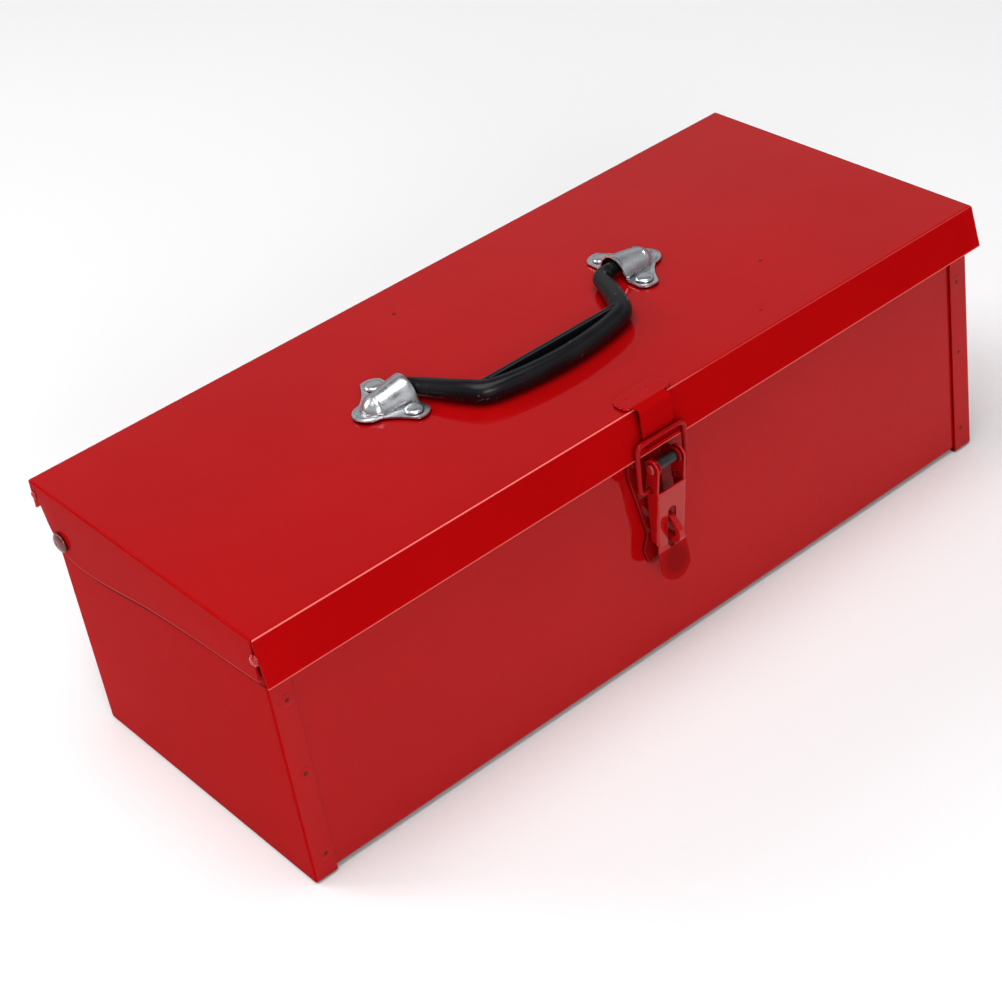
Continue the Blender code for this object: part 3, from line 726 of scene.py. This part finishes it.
def body_trough(look):
    reach = GAP + BODY_SHEET
    front = BODY_FRONT + reach
    rear = BODY_REAR - reach
    turn = 2 * BODY_SHEET + GAP
    path = [(rear - turn, BODY_TOP - HEM), (rear - turn, BODY_TOP), (rear, BODY_TOP), (rear, reach),
            (front, reach), (front, BODY_TOP), (front + turn, BODY_TOP), (front + turn, BODY_TOP - HEM)]
    rounded = [path[0], *round_corners(path[0:4], 0.94, 6)[1:-1], *round_corners(path[2:6], 2.0, 8)[1:-1],
               *round_corners(path[4:8], 0.94, 6)[1:-1], path[-1]]
    half = BODY_LENGTH / 2 - BODY_SHEET - GAP
    sheet = folded_strip(rounded, -BODY_SHEET, -half, half)
    put("body_trough_sheet", sheet, "root", ["body_trough"], look, 30.0, 0.15)


def end_panel(end, side, look):
    top = BODY_TOP - 1.0
    outline = round_corners([(BODY_REAR, top), (BODY_REAR, 0.0), (BODY_FRONT, 0.0), (BODY_FRONT, top)],
                            PANEL_CORNER, 8)
    face = BODY_LENGTH / 2
    section = []
    for k in range(7):
        angle = math.radians(90 - 15 * k)
        section.append((face - PANEL_FOLD * (1 - math.sin(angle)), PANEL_FOLD * (1 - math.cos(angle))))
    section.append((face - FLANGE, 0.0))
    section.append((face - FLANGE, BODY_SHEET))
    inner = PANEL_FOLD - BODY_SHEET
    for k in range(4):
        angle = math.radians(30 * k)
        section.append((face - PANEL_FOLD + inner * math.sin(angle), PANEL_FOLD - inner * math.cos(angle)))
    bm = bmesh.new()
    inset = [offset_line(outline, -depth) for _, depth in section]
    rows = []
    for i in range(len(outline)):
        rows.append([bm.verts.new((side * x, *inset[k][i])) for k, (x, _) in enumerate(section)])
    grid_faces(bm, rows)
    bm.faces.new([row[0] for row in rows])
    bm.faces.new([row[-1] for row in rows])
    bm.faces.new([*rows[0], *reversed(rows[-1])])
    put("end_panel_sheet_" + end, bm, "root", ["end_panel_" + end], look, 30.0, 0.15)
    web = face - BODY_SHEET
    front, rear = BODY_FRONT + 6.0, BODY_REAR - 6.0
    edge = [(front, BODY_TOP - HEM), (rear, BODY_TOP - HEM), (rear, top), (front, top)]
    hem = prism(round_corners(edge, 1.5, 6, True), along_x, side * (web - 1.1), side * (web + 0.1))
    put("end_panel_hem_" + end, hem, "root", [], look, 30.0, 0.3)


def spot_welds(look):
    """Shallow craters left by the electrodes where the flanges are welded to the trough."""
    profile = [(-0.02, 2.7), (0.10, 2.45), (0.13, 2.1), (0.05, 1.6), (0.03, 0.0)]
    bm = bmesh.new()
    x = BODY_LENGTH / 2 - FLANGE * 0.65
    for side in (-1, 1):
        for z in (11.0, 48.5, 81.4):
            turned(profile, (side * x, BODY_FRONT, z), (0, -1, 0), 32, bm)
            turned(profile, (side * x, BODY_REAR, z), (0, 1, 0), 32, bm)
        for y in (-45.0, -5.0, 38.0):
            turned(profile, (side * x, y, 0.14), (0, 0, 1), 32, bm)
    put("flange_spot_welds", bm, "root", [], look, 60.0)


# ---- lid

def flap_edge(shares):
    """Lower edge of an end flap, as (depth position, drop), at shares of its length."""
    line = smooth_line(FLAP_EDGE, 24)
    lengths = [0.0]
    for a, b in zip(line, line[1:]):
        lengths.append(lengths[-1] + (b - a).length)
    result = []
    for part in shares:
        target = lengths[-1] * part
        k = max(j for j, reached in enumerate(lengths) if reached <= target + 1e-6)
        k = min(k, len(line) - 2)
        share = (target - lengths[k]) / (lengths[k + 1] - lengths[k])
        result.append(line[k].lerp(line[k + 1], min(share, 1.0)))
    return result


def lid_top(x, y):
    """Height of the lid's top, very slightly uneven away from the folds."""
    calm = min(1.0, (LID_LENGTH / 2 - abs(x)) / 30.0) * min(1.0, (LID_DEPTH / 2 - abs(y)) / 25.0)
    return LID_TOP - 0.10 * max(0.0, calm) * (0.5 + 0.5 * noise.noise(Vector((x / 55.0, y / 55.0, 0.3))))


def lid_sheet(look):
    """The lid: a flat top, two bent lips and two bent end flaps, open at the four corners."""
    half = LID_LENGTH / 2
    front, rear = -LID_DEPTH / 2, LID_DEPTH / 2
    columns, stations, steps = 56, 40, 8
    bm = bmesh.new()
    xs = [-(half - FOLD) + 2 * (half - FOLD) * i / columns for i in range(columns + 1)]
    ys = [front + FOLD + (rear - front - 2 * FOLD) * j / stations for j in range(stations + 1)]
    top = [[bm.verts.new((x, y, lid_top(x, y))) for x in xs] for y in ys]
    grid_faces(bm, top)
    for row, way, place, depth, flare in ((top[0], -1, front, FRONT_LIP, FRONT_FLARE),
                                          (top[-1], 1, rear, REAR_LIP, REAR_FLARE)):
        add_lip(bm, row, way, place, depth, flare, steps)
    for side in (-1, 1):
        border = [row[0 if side < 0 else -1] for row in top]
        add_flap(bm, border, side, steps)
    put("lid_sheet", bm, "lid", ["lid_shell"], look, 40.0, 0.2, LID_SHEET)


def add_lip(bm, row, way, place, depth, flare, steps):
    """Bend one long edge of the lid down into a lip that leans slightly outwards."""
    half = LID_LENGTH / 2
    sweep = math.pi / 2 - math.atan2(flare, depth)
    widths = [v.co.x / (half - FOLD) for v in row]
    rows = [row]
    for k in range(1, steps + 1):
        angle = sweep * k / steps
        y = place - way * FOLD + way * FOLD * math.sin(angle)
        z = LID_TOP - FOLD * (1 - math.cos(angle))
        reach = half - FOLD * (1 - 0.8 * k / steps)
        rows.append([bm.verts.new((u * reach, y, z)) for u in widths])
    last_y, last_z = rows[-1][0].co.y, rows[-1][0].co.z
    for share in (0.33, 0.66, 1.0):
        y = last_y + (place + way * flare - last_y) * share
        row = []
        for u in widths:
            uneven = 0.9 * u if way < 0 else 0.0
            z = last_z + (LID_TOP - depth + uneven - last_z) * share
            row.append(bm.verts.new((u * (half - 0.2), y, z)))
        rows.append(row)
    grid_faces(bm, rows)


def add_flap(bm, border, side, steps):
    """Bend one end of the lid down into a slightly bellied flap with a curved lower edge."""
    half = LID_LENGTH / 2
    rows = [border]
    for k in range(1, steps + 1):
        angle = math.pi / 2 * k / steps
        x = half - FOLD + FOLD * math.sin(angle)
        z = LID_TOP - FOLD * (1 - math.cos(angle))
        rows.append([bm.verts.new((side * x, v.co.y, z)) for v in border])
    low = flap_edge([i / (len(border) - 1) for i in range(len(border))])
    for k in range(1, 9):
        share = k / 8
        row = []
        for start, end in zip(border, low):
            y = start.co.y + (end.x - start.co.y) * share
            z = LID_TOP - FOLD - (end.y - FOLD) * share
            lean = min(FLAP_LEAN * (LID_TOP - z) / (LID_TOP - HINGE_Z), FLAP_LEAN)
            inset = 0.28 * share ** 2 + lean
            row.append(bm.verts.new((side * (half - inset), y, z)))
        rows.append(row)
    grid_faces(bm, rows)


def corner_welds(look):
    """Small tack welds that close the lid's front and rear corners."""
    for place, y, z, radius in (("front", -70.8, 104.4, 2.1), ("rear", 69.9, 106.6, 1.5)):
        for end, side in (("left", -1), ("right", 1)):
            centre = Vector((side * (LID_LENGTH / 2 - 0.1), y, z))
            bm = bmesh.new()
            bmesh.ops.create_icosphere(bm, subdivisions=3, radius=radius)
            for vert in bm.verts:
                lump = 1.0 + 0.22 * noise.noise(vert.co * 0.9 + centre)
                vert.co = Vector((vert.co.x * 0.62, vert.co.y, vert.co.z * 1.15)) * lump + centre
            put(f"lid_weld_{place}_{end}", bm, "lid", [], look, 80.0)


def hinge_set(end, side, worn, steel):
    panel = BODY_LENGTH / 2
    flap = LID_LENGTH / 2 - FLAP_LEAN
    seat = flap + GAP + 0.2
    crown = []
    for a in range(0, 91, 10):
        angle = math.radians(a)
        crown.append((-1.6 * math.cos(angle) ** 0.8 - 0.02, RIVET_HEAD * math.sin(angle)))
    grip = seat - panel + BODY_SHEET + GAP
    profile = [(crown[0][0] + 0.28, 0.0), (crown[0][0] + 0.26, 0.8), *crown[2:], (0.12, RIVET_HEAD * 0.97),
               (0.12, 2.0), (grip, 2.0), (grip, 3.4), (grip + 0.6, 3.2), (grip + 1.1, 0.0)]
    place = (side * seat, HINGE_Y, HINGE_Z)
    rivet = turned(profile, place, (-side, 0, 0), 48)
    put("hinge_rivet_set_" + end, rivet, "root", ["hinge_rivet_" + end], worn, 40.0)
    near = panel + GAP
    far = flap - LID_SHEET - GAP
    ring = [(near, 2.3), (near, 4.45), (near + 0.12, 4.6), (far - 0.12, 4.6), (far, 4.45), (far, 2.3)]
    washer = turned([*ring, ring[0]], (0.0, HINGE_Y, HINGE_Z), (side, 0, 0), 48)
    for face in [f for f in washer.faces if len(f.verts) > 4]:
        washer.faces.remove(face)
    put("hinge_washer_ring_" + end, washer, "root", ["hinge_washer_" + end], steel, 40.0)


# ---- handle

def saddle_height(x, y):
    """Height above the saddle's flange: a half-cone with a blunt rounded end, and a low rim at the nose."""
    rim = 0.55 * math.exp(-((math.hypot(x - SADDLE_NOSE + 6.0, y) - 4.3) / 1.0) ** 2) if x > 66.0 else 0.0
    along = (x - SADDLE_MOUTH) / (CONE_END - SADDLE_MOUTH)
    if along >= 1:
        return rim
    taper = 1 - 0.40 * max(0.0, along)
    blunt = math.sqrt(1 - (max(0.0, along - 0.72) / 0.28) ** 2)
    across = abs(y) / (CONE_HALF * taper * max(0.3, blunt))
    if across >= 1:
        return rim
    return rim + CONE_TOP * taper * blunt * (1 - across ** 2) ** 0.62


def saddle_half_width(x):
    """Half width of the saddle's flange: two rivet lobes joined smoothly to a rounded nose."""
    lobe_radius = 5.9
    nose_radius = 6.6
    reach = SADDLE_RIVET_SPAN / 2
    nose_x = SADDLE_NOSE - nose_radius
    away = x - SADDLE_RIVET_X
    lobe_end = 2.4
    if x >= nose_x:
        return max(0.5, math.sqrt(max(0.0, nose_radius ** 2 - (x - nose_x) ** 2)))
    if away <= lobe_end:
        return reach + math.sqrt(lobe_radius ** 2 - away ** 2)
    start = reach + math.sqrt(lobe_radius ** 2 - lobe_end ** 2)
    share = (away - lobe_end) / (nose_x - SADDLE_RIVET_X - lobe_end)
    return start + (nose_radius - start) * share - 1.3 * math.sin(math.pi * share)


def saddle(end, side, look):
    across_count, along_count = 97, 71
    bm = bmesh.new()
    rows = []
    for i in range(along_count):
        t = i / (along_count - 1)
        x = SADDLE_MOUTH - 1.1 + (SADDLE_NOSE - SADDLE_MOUTH + 1.1) * (1 - (1 - t) ** 1.5)
        half = saddle_half_width(x)
        row = []
        for k in range(across_count):
            u = 2 * k / (across_count - 1) - 1
            y = u * half * (0.55 + 0.45 * abs(u))
            z = LID_TOP + GAP + saddle_height(x, y)
            row.append(bm.verts.new((side * x, PIVOT_Y + y, z)))
        rows.append(row if side > 0 else row[::-1])
    grid_faces(bm, rows)
    node = "handle_saddle_" + end
    made = put("handle_saddle_pressing_" + end, bm, "lid", [node], look, 70.0)
    if made.data.polygons[0].normal.z < 0:
        made.data.flip_normals()
    step = made.modifiers.new("sheet", "SOLIDIFY")
    step.thickness = SADDLE_SHEET * 0.001
    step.offset = 1.0
    bevel(made, 0.28, 3, 60.0)


def saddle_rivet(end, side, place, way, look):
    """Flat-topped rivet head, its shank, and its set tail under the lid."""
    seat = LID_TOP + GAP + SADDLE_SHEET + GAP
    length = seat - LID_TOP + LID_SHEET + GAP
    profile = [(-1.16, 0.0), (-1.15, 1.2), (-1.08, 2.2), (-0.92, 2.9), (-0.66, 3.35), (-0.3, 3.65),
               (-0.02, 3.68), (0.15, 3.5), (0.15, 2.0), (length, 2.0),
               (length, 3.1), (length + 0.6, 2.7), (length + 0.9, 0.0)]
    spot = (side * SADDLE_RIVET_X, PIVOT_Y + way * SADDLE_RIVET_SPAN / 2, seat)
    rivet = turned(profile, spot, (0, 0, -1), 48)
    node = f"saddle_rivet_{end}_{place}"
    put(node + "_head", rivet, "lid", [node], look, 50.0)


def handle_line(steps):
    rise = REST_Z - PIVOT_Z
    pin = [(56.0, PIVOT_Y, PIVOT_Z), (51.8, PIVOT_Y, PIVOT_Z)]
    arm = [(47.2, PIVOT_Y - 2.0, PIVOT_Z), (42.8, PIVOT_Y - 11.5, PIVOT_Z + rise * 0.5),
           (BEND_X + 0.8, BEND_Y + 2.0, REST_Z), (BEND_X - 4.5, BEND_Y - 4.6, REST_Z),
           (18.0, BULGE_Y + 1.4, REST_Z)]
    left = [(-x, y, z) for x, y, z in pin] + [(HANDLE_X - x, y, z) for x, y, z in arm]
    right = [(HANDLE_X + x, y, z) for x, y, z in reversed(arm)] + pin[::-1]
    return smooth_line([*left, (HANDLE_X, BULGE_Y, REST_Z), *right], steps)


def handle_radii(line):
    radii = []
    for point in line:
        away = abs(point.x - HANDLE_X)
        in_grip = min(1.0, max(0.0, (34.0 - away) / 11.0))
        along_arm = min(1.0, max(0.0, (away - BEND_X) / 11.0))
        in_saddle = min(1.0, max(0.0, (abs(point.x) - 47.6) / 2.4))
        wide = GRIP_RADIUS * (1.0 - 0.11 * in_grip - 0.14 * along_arm)
        tall = GRIP_RADIUS * (1.0 - 0.38 * along_arm)
        pin = PIN_RADIUS - 0.5 * min(1.0, max(0.0, (abs(point.x) - 52.0) / 2.2))
        radii.append(tuple(size + (pin - size) * in_saddle for size in (wide, tall)))
    return radii


def handle_grip(look):
    """Moulded bail: round arms, a bulged front tube and a thin rear wall round a leaf-shaped pocket."""
    line = handle_line(14)
    radii = [(wide, min(tall, GRIP_RADIUS * 0.985)) for wide, tall in handle_radii(line)]
    blocks = [tube(line, radii, 40, 0.6)]
    wall_y = BEND_Y - 2.0
    low = REST_Z - GRIP_RADIUS * 0.86
    high = REST_Z + GRIP_RADIUS * 0.90
    reach = BEND_X - 2.5
    corners = [(wall_y - 0.95, low), (wall_y + 0.95, low), (wall_y + 0.95, high), (wall_y - 0.95, high)]
    blocks.append(prism(round_corners(corners, 0.9, 6, True), along_x, HANDLE_X - reach, HANDLE_X + reach))
    leaf = [(-31.0, wall_y), (31.0, wall_y), (18.0, BULGE_Y + 1.6), (0.0, BULGE_Y + 0.4),
            (-18.0, BULGE_Y + 1.6)]
    blocks.append(prism([(HANDLE_X + x, y) for x, y in leaf], along_z, low + 0.4, high - 0.5))
    back, ahead = wall_y - 0.95, BULGE_Y + 2.2
    bulge = [(31.5, back - 0.4), (17.0, back - 3.2), (0.0, ahead), (-17.0, back - 3.2), (-31.5, back - 0.4)]
    pocket = [(-31.5, back), (31.5, back), *smooth_line(bulge, 8)]
    cutter = prism([(HANDLE_X + x, y) for x, y in pocket], along_z, low + 2.2, high + 3.0)
    melt("handle_moulding", blocks, [cutter], 0.25, 3, "handle", ["handle_grip"], look)


# ---- latch

def latch_keeper(look):
    top = LID_TOP + GAP + LATCH_SHEET
    throat = WIRE + 0.25
    face_y = BAR_Y + throat
    bend = round_corners([(-LID_DEPTH / 2 + 4.0, top), (face_y, top), (face_y, BAR_Z)], 1.6, 8)
    hook = arc((BAR_Y, BAR_Z - 0.1), throat, 0.0, -180.0, 14)
    path = [*bend[:-1], *hook, (BAR_Y - throat, BAR_Z - 0.5)]
    low = KEEPER_X - KEEPER_HALF
    blocks = [folded_strip(path, LATCH_SHEET, low, low + 2 * KEEPER_HALF)]
    front = -LID_DEPTH / 2 - 0.4
    lobe = [(-KEEPER_HALF, front), (KEEPER_HALF, front), (12.4, front + 1.4), (12.4, front + 9.6),
            (0.0, front + 10.6), (-10.9, front + 9.6), (-10.9, front + 1.4)]
    outline = [(KEEPER_X + x, y) for x, y in round_corners(lobe, 4.4, 8, True)]
    blocks.append(prism(outline, along_z, LID_TOP + GAP, top))
    dimples = []
    for x in (-5.6, 4.6):
        profile = [(-1.0, 1.1), (0.0, 1.0), (0.28, 0.5), (0.32, 0.0)]
        dimples.append(turned(profile, (KEEPER_X + x, front + 5.6, top + 0.02), (0, 0, -1), 24))
    melt("latch_keeper_strap", blocks, dimples, 0.17, 5, "lid", ["latch_keeper"], look)


def ears(half, sheet, outline):
    """Two side ears, at plus and minus half."""
    made = []
    for side in (-1, 1):
        made.append(prism(outline, along_x, *sorted((side * half, side * half + side * sheet))))
    return made


def latch_base(look):
    wall = BODY_FRONT + GAP + BODY_SHEET
    back = wall - GAP
    front = back - LATCH_SHEET
    side = [(-BASE_HALF, 92.0), (-BASE_HALF, 84.0), (-8.6, 70.0), (-6.0, 56.0), (-8.6, 50.0), (-6.6, 42.0)]
    outline = [*side, *[(-a, b) for a, b in reversed(side)]]
    blocks = [prism(round_corners(outline, 3.0, 8, True), along_y, front, back)]
    ear = [(front + 0.4, 93.0), (LEVER_Y, LEVER_Z + 3.1), *arc((LEVER_Y, LEVER_Z), 3.1, 105, 255, 16),
           (LEVER_Y + 1.0, LEVER_Z - 3.1), (front + 0.4, 83.0)]
    blocks += ears(4.6, 0.9, ear)
    hole = turned([(-8.0, 1.8), (8.0, 1.8)], (0.0, LEVER_Y, LEVER_Z), (1, 0, 0), 32)
    melt("latch_base_plate", blocks, [hole], 0.22, 3, "root", ["latch_base"], look)
    return front


def latch_pin(look):
    length = LEVER_HALF + GAP
    half = [(length + 0.9, 1.2), (length + 0.7, 1.75), (length + 0.2, 2.1), (length, 2.1), (length, 1.5),
            (4.2, 1.5), (4.2, 1.9), (4.0, 2.0)]
    profile = [(-a, r) for a, r in half] + [(a, r) for a, r in reversed(half)]
    pin = turned(profile, (0.0, LEVER_Y, LEVER_Z), (1, 0, 0), 32)
    put("latch_pin_turned", pin, "root", ["latch_pin"], look, 40.0)


def latch_lever(look):
    top_z = 79.2
    side = LEVER_HALF - 0.9
    web_top = (-80.2, top_z)
    web_low = (-76.4, 53.0)
    web = round_corners([web_top, web_low, (-76.6, 50.5), (-78.6, 36.4)], 2.0, 4)
    trim = [(-12.0, 85.0), (-7.0, 85.0), (-6.3, 54.0), (-8.0, 46.5), (-6.9, 41.0), (-3.6, 37.4),
            (0.0, 36.2)]
    left = [tuple(v) for v in (*trim[:3], *smooth_line(trim[3:], 6))]
    shape = [*left, *[(-a, b) for a, b in reversed(left[:-1])]]
    lever = loose(folded_strip(web, LATCH_SHEET, -LEVER_HALF, LEVER_HALF), "lever_web")
    keep = loose(prism(shape, along_y, -90.0, -70.0), "lever_keep")
    combine(lever, keep, "INTERSECT")
    trimmed = baked(lever, "lever_trimmed")
    bpy.data.objects.remove(keep, do_unlink=True)
    plate = bmesh.new()
    plate.from_mesh(trimmed.data)
    bpy.data.objects.remove(trimmed, do_unlink=True)
    for vert in plate.verts:
        vert.co = vert.co * 1000.0 - Vector((0.0, SHIFT_Y, 0.0))
    low_front = web_low[0] + 0.5
    ear = [(web_top[0] + 0.5, top_z), *arc((LEVER_Y, LEVER_Z), EAR, 200, -35, 20),
           (LOOP_Y + 2.6, LOOP_Z + 1.0), (LOOP_Y + 2.2, LOOP_Z - 3.0), (low_front + 3.0, 55.5),
           (low_front, 54.0)]
    slot = [(-1.9, 70.0), (1.9, 70.0), (1.9, 50.8), (-1.9, 50.8)]
    cutters = [prism(round_corners(slot, 1.85, 8, True), along_y, -90.0, -70.0)]
    for y, z, radius in ((LEVER_Y, LEVER_Z, 1.8), (LOOP_Y, LOOP_Z, WIRE + GAP)):
        cutters.append(turned([(-12.0, radius), (12.0, radius)], (0.0, y, z), (1, 0, 0), 32))
    melt("latch_lever_pressing", [plate, *ears(side, 0.9, ear)], cutters, 0.22, 3, "lever", ["latch_lever"],
         look)


def latch_loop(look):
    half = LOOP_HALF
    foot = LEVER_HALF - 0.9 - 1.3
    corners = [(-foot, 0.0), (-half, 0.0), (-half, 1.0), (half, 1.0), (half, 0.0), (foot, 0.0)]
    rise = Vector((BAR_Y - LOOP_Y, BAR_Z - LOOP_Z))
    flat = [(x, share * rise.length) for x, share in corners]
    path = [flat[0], *round_corners(flat, 2.4, 10)[1:-1], flat[-1]]
    lean = rise.normalized()
    line = [(x, LOOP_Y + lean.x * h, LOOP_Z + lean.y * h) for x, h in path]
    wire = tube(line, [(WIRE, WIRE)] * len(line), 24, up=(0.0, 1.0, 0.0))
    put("latch_loop_wire", wire, "loop", ["latch_loop"], look, 60.0)


def padlock_eye(front, look):
    root = front - GAP
    outline = [(root, 66.5), (-78.0, 66.0), (-82.6, 61.0), (-82.6, 56.5), (-79.5, 54.0), (root, 54.0)]
    hole = round_corners([(-73.6, 63.4), (-77.2, 63.2), (-80.0, 60.0), (-80.0, 57.6), (-78.6, 56.8),
                          (-73.6, 56.8)], 1.6, 8, True)
    eye = prism(round_corners(outline, 3.0, 8, True), along_x, -1.2, 1.2)
    melt("padlock_eye_pressing", [eye], [prism(hole, along_x, -3.0, 3.0)], 0.2, 3, "root", ["padlock_eye"],
         look)


# ---- studio

def studio():
    """Plain pale floor, soft lights, and the camera."""
    bm = bmesh.new()
    size = 4.0
    corners = [(-size, -size), (size, -size), (size, size), (-size, size)]
    bm.faces.new([bm.verts.new((x, y, -0.0003)) for x, y in corners])
    mesh = bpy.data.meshes.new("floor")
    bm.to_mesh(mesh)
    bm.free()
    floor = add_object("floor", mesh)
    m = Material("pale_floor", Roughness=0.9)
    m.link(m.mix(m.span(m.noise(2.0), 0.3, 0.7), (0.93, 0.93, 0.935), (0.95, 0.95, 0.95)),
           m.shader.inputs["Base Color"])
    mesh.materials.append(m.made)
    sky()
    area_light("overhead", (-0.3, -0.2, 1.8), (0.0, 0.0, 0.0), 1.4, 1.4, 24.0)
    area_light("front_fill", (-0.9, -1.9, 0.9), (0.0, 0.0, 0.05), 1.0, 0.7, 17.5)
    area_light("back_fill", (-1.2, 1.6, 1.2), (-0.3, 0.6, 0.0), 1.0, 1.0, 17.0)
    camera()


def sky():
    """Grey surroundings, paler low down and darker overhead."""
    world = bpy.data.worlds.new("studio")
    bpy.context.scene.world = world
    world.use_nodes = True
    tree = world.node_tree
    back = tree.nodes["Background"]
    place = tree.nodes.new("ShaderNodeTexCoord")
    split = tree.nodes.new("ShaderNodeSeparateXYZ")
    ramp = tree.nodes.new("ShaderNodeValToRGB")
    tree.links.new(place.outputs["Generated"], split.inputs["Vector"])
    tree.links.new(split.outputs["Z"], ramp.inputs["Fac"])
    tree.links.new(ramp.outputs["Color"], back.inputs["Color"])
    stops = [(0.0, 0.25), (0.30, 0.55), (0.46, 1.0), (0.60, 0.55), (0.72, 0.22), (1.0, 0.30)]
    while len(ramp.color_ramp.elements) < len(stops):
        ramp.color_ramp.elements.new(0.5)
    for element, (position, level) in zip(ramp.color_ramp.elements, stops):
        element.position = position
        element.color = (level, level, level * 1.03, 1.0)
    back.inputs["Strength"].default_value = 0.62


def area_light(name, place, aim, width, height, power):
    lamp = bpy.data.lights.new(name, "AREA")
    lamp.shape = "RECTANGLE"
    lamp.size = width
    lamp.size_y = height
    lamp.energy = power
    made = add_object(name, lamp)
    made.location = place
    made.rotation_euler = (Vector(aim) - Vector(place)).to_track_quat("-Z", "Y").to_euler()


def camera():
    azimuth, elevation, roll = (math.radians(v) for v in (VIEW_AZIMUTH, VIEW_ELEVATION, VIEW_ROLL))
    ahead = Vector((math.sin(azimuth) * math.cos(elevation), math.cos(azimuth) * math.cos(elevation),
                    -math.sin(elevation)))
    level = Vector((ahead.y, -ahead.x, 0.0)).normalized()
    upright = level.cross(ahead)
    right = level * math.cos(roll) - upright * math.sin(roll)
    above = upright * math.cos(roll) + level * math.sin(roll)
    made = add_object("camera", bpy.data.cameras.new("camera"))
    made.data.lens = VIEW_LENS
    made.data.sensor_width = 36.0
    made.data.clip_start = 0.02
    place = Vector(VIEW_AIM) - ahead * VIEW_DISTANCE
    made.matrix_world = Matrix.Translation(place) @ Matrix((right, above, -ahead)).transposed().to_4x4()
    bpy.context.scene.camera = made


def build():
    weld_x, weld_y = (BODY_LENGTH / 2 - FLANGE * 0.65) * 0.001, (BODY_FRONT + SHIFT_Y) * 0.001
    welds = [((side * weld_x, weld_y, z * 0.001), 0.0011) for side in (-1, 1) for z in (11.0, 48.5, 81.4)]
    red = red_paint("red_enamel", False, welds)
    latch_red = red_paint("red_enamel_worn", True)
    bright = zinc("zinc_plated_steel")
    steel = dark_steel("oiled_steel")
    body_trough(red)
    for end, side in (("left", -1), ("right", 1)):
        end_panel(end, side, red)
        hinge_set(end, side, worn_rivet("rubbed_rivet_" + end), steel)
        saddle(end, side, bright)
        for place, way in (("front", -1), ("rear", 1)):
            saddle_rivet(end, side, place, way, bright)
    spot_welds(red)
    top = LID_TOP * 0.001
    specks = (((-0.0187, 0.0576, top), 0.0011), ((0.0952, -0.0296, top), 0.0010),
              ((0.0691, -0.0553, top), 0.0007))
    lid_sheet(red_paint("red_enamel_lid", False, specks, rims=(-0.0664, 0.1123)))
    corner_welds(latch_red)
    handle_grip(black_plastic("moulded_black_plastic"))
    latch_keeper(red_paint("red_enamel_keeper", False, rims=(-0.0709, 0.1136)))
    plate_front = latch_base(red_paint("red_enamel_shaded", False, tone=0.6))
    latch_pin(dark_steel("latch_pin_steel", 7.2))
    # the patch of painted shade on the lever's tab
    face = ((0.0, -0.0725, 0.0450), (0.0070, 0.010, 0.0075))
    latch_lever(red_paint("red_enamel_lever", True, (), face))
    # the wire's red is darkened by tone as painted shade
    latch_loop(red_paint("red_enamel_wire", False, tone=0.8))
    padlock_eye(plate_front, latch_red)
    studio()


build()
bpy.context.scene.view_settings.view_transform = "Standard"
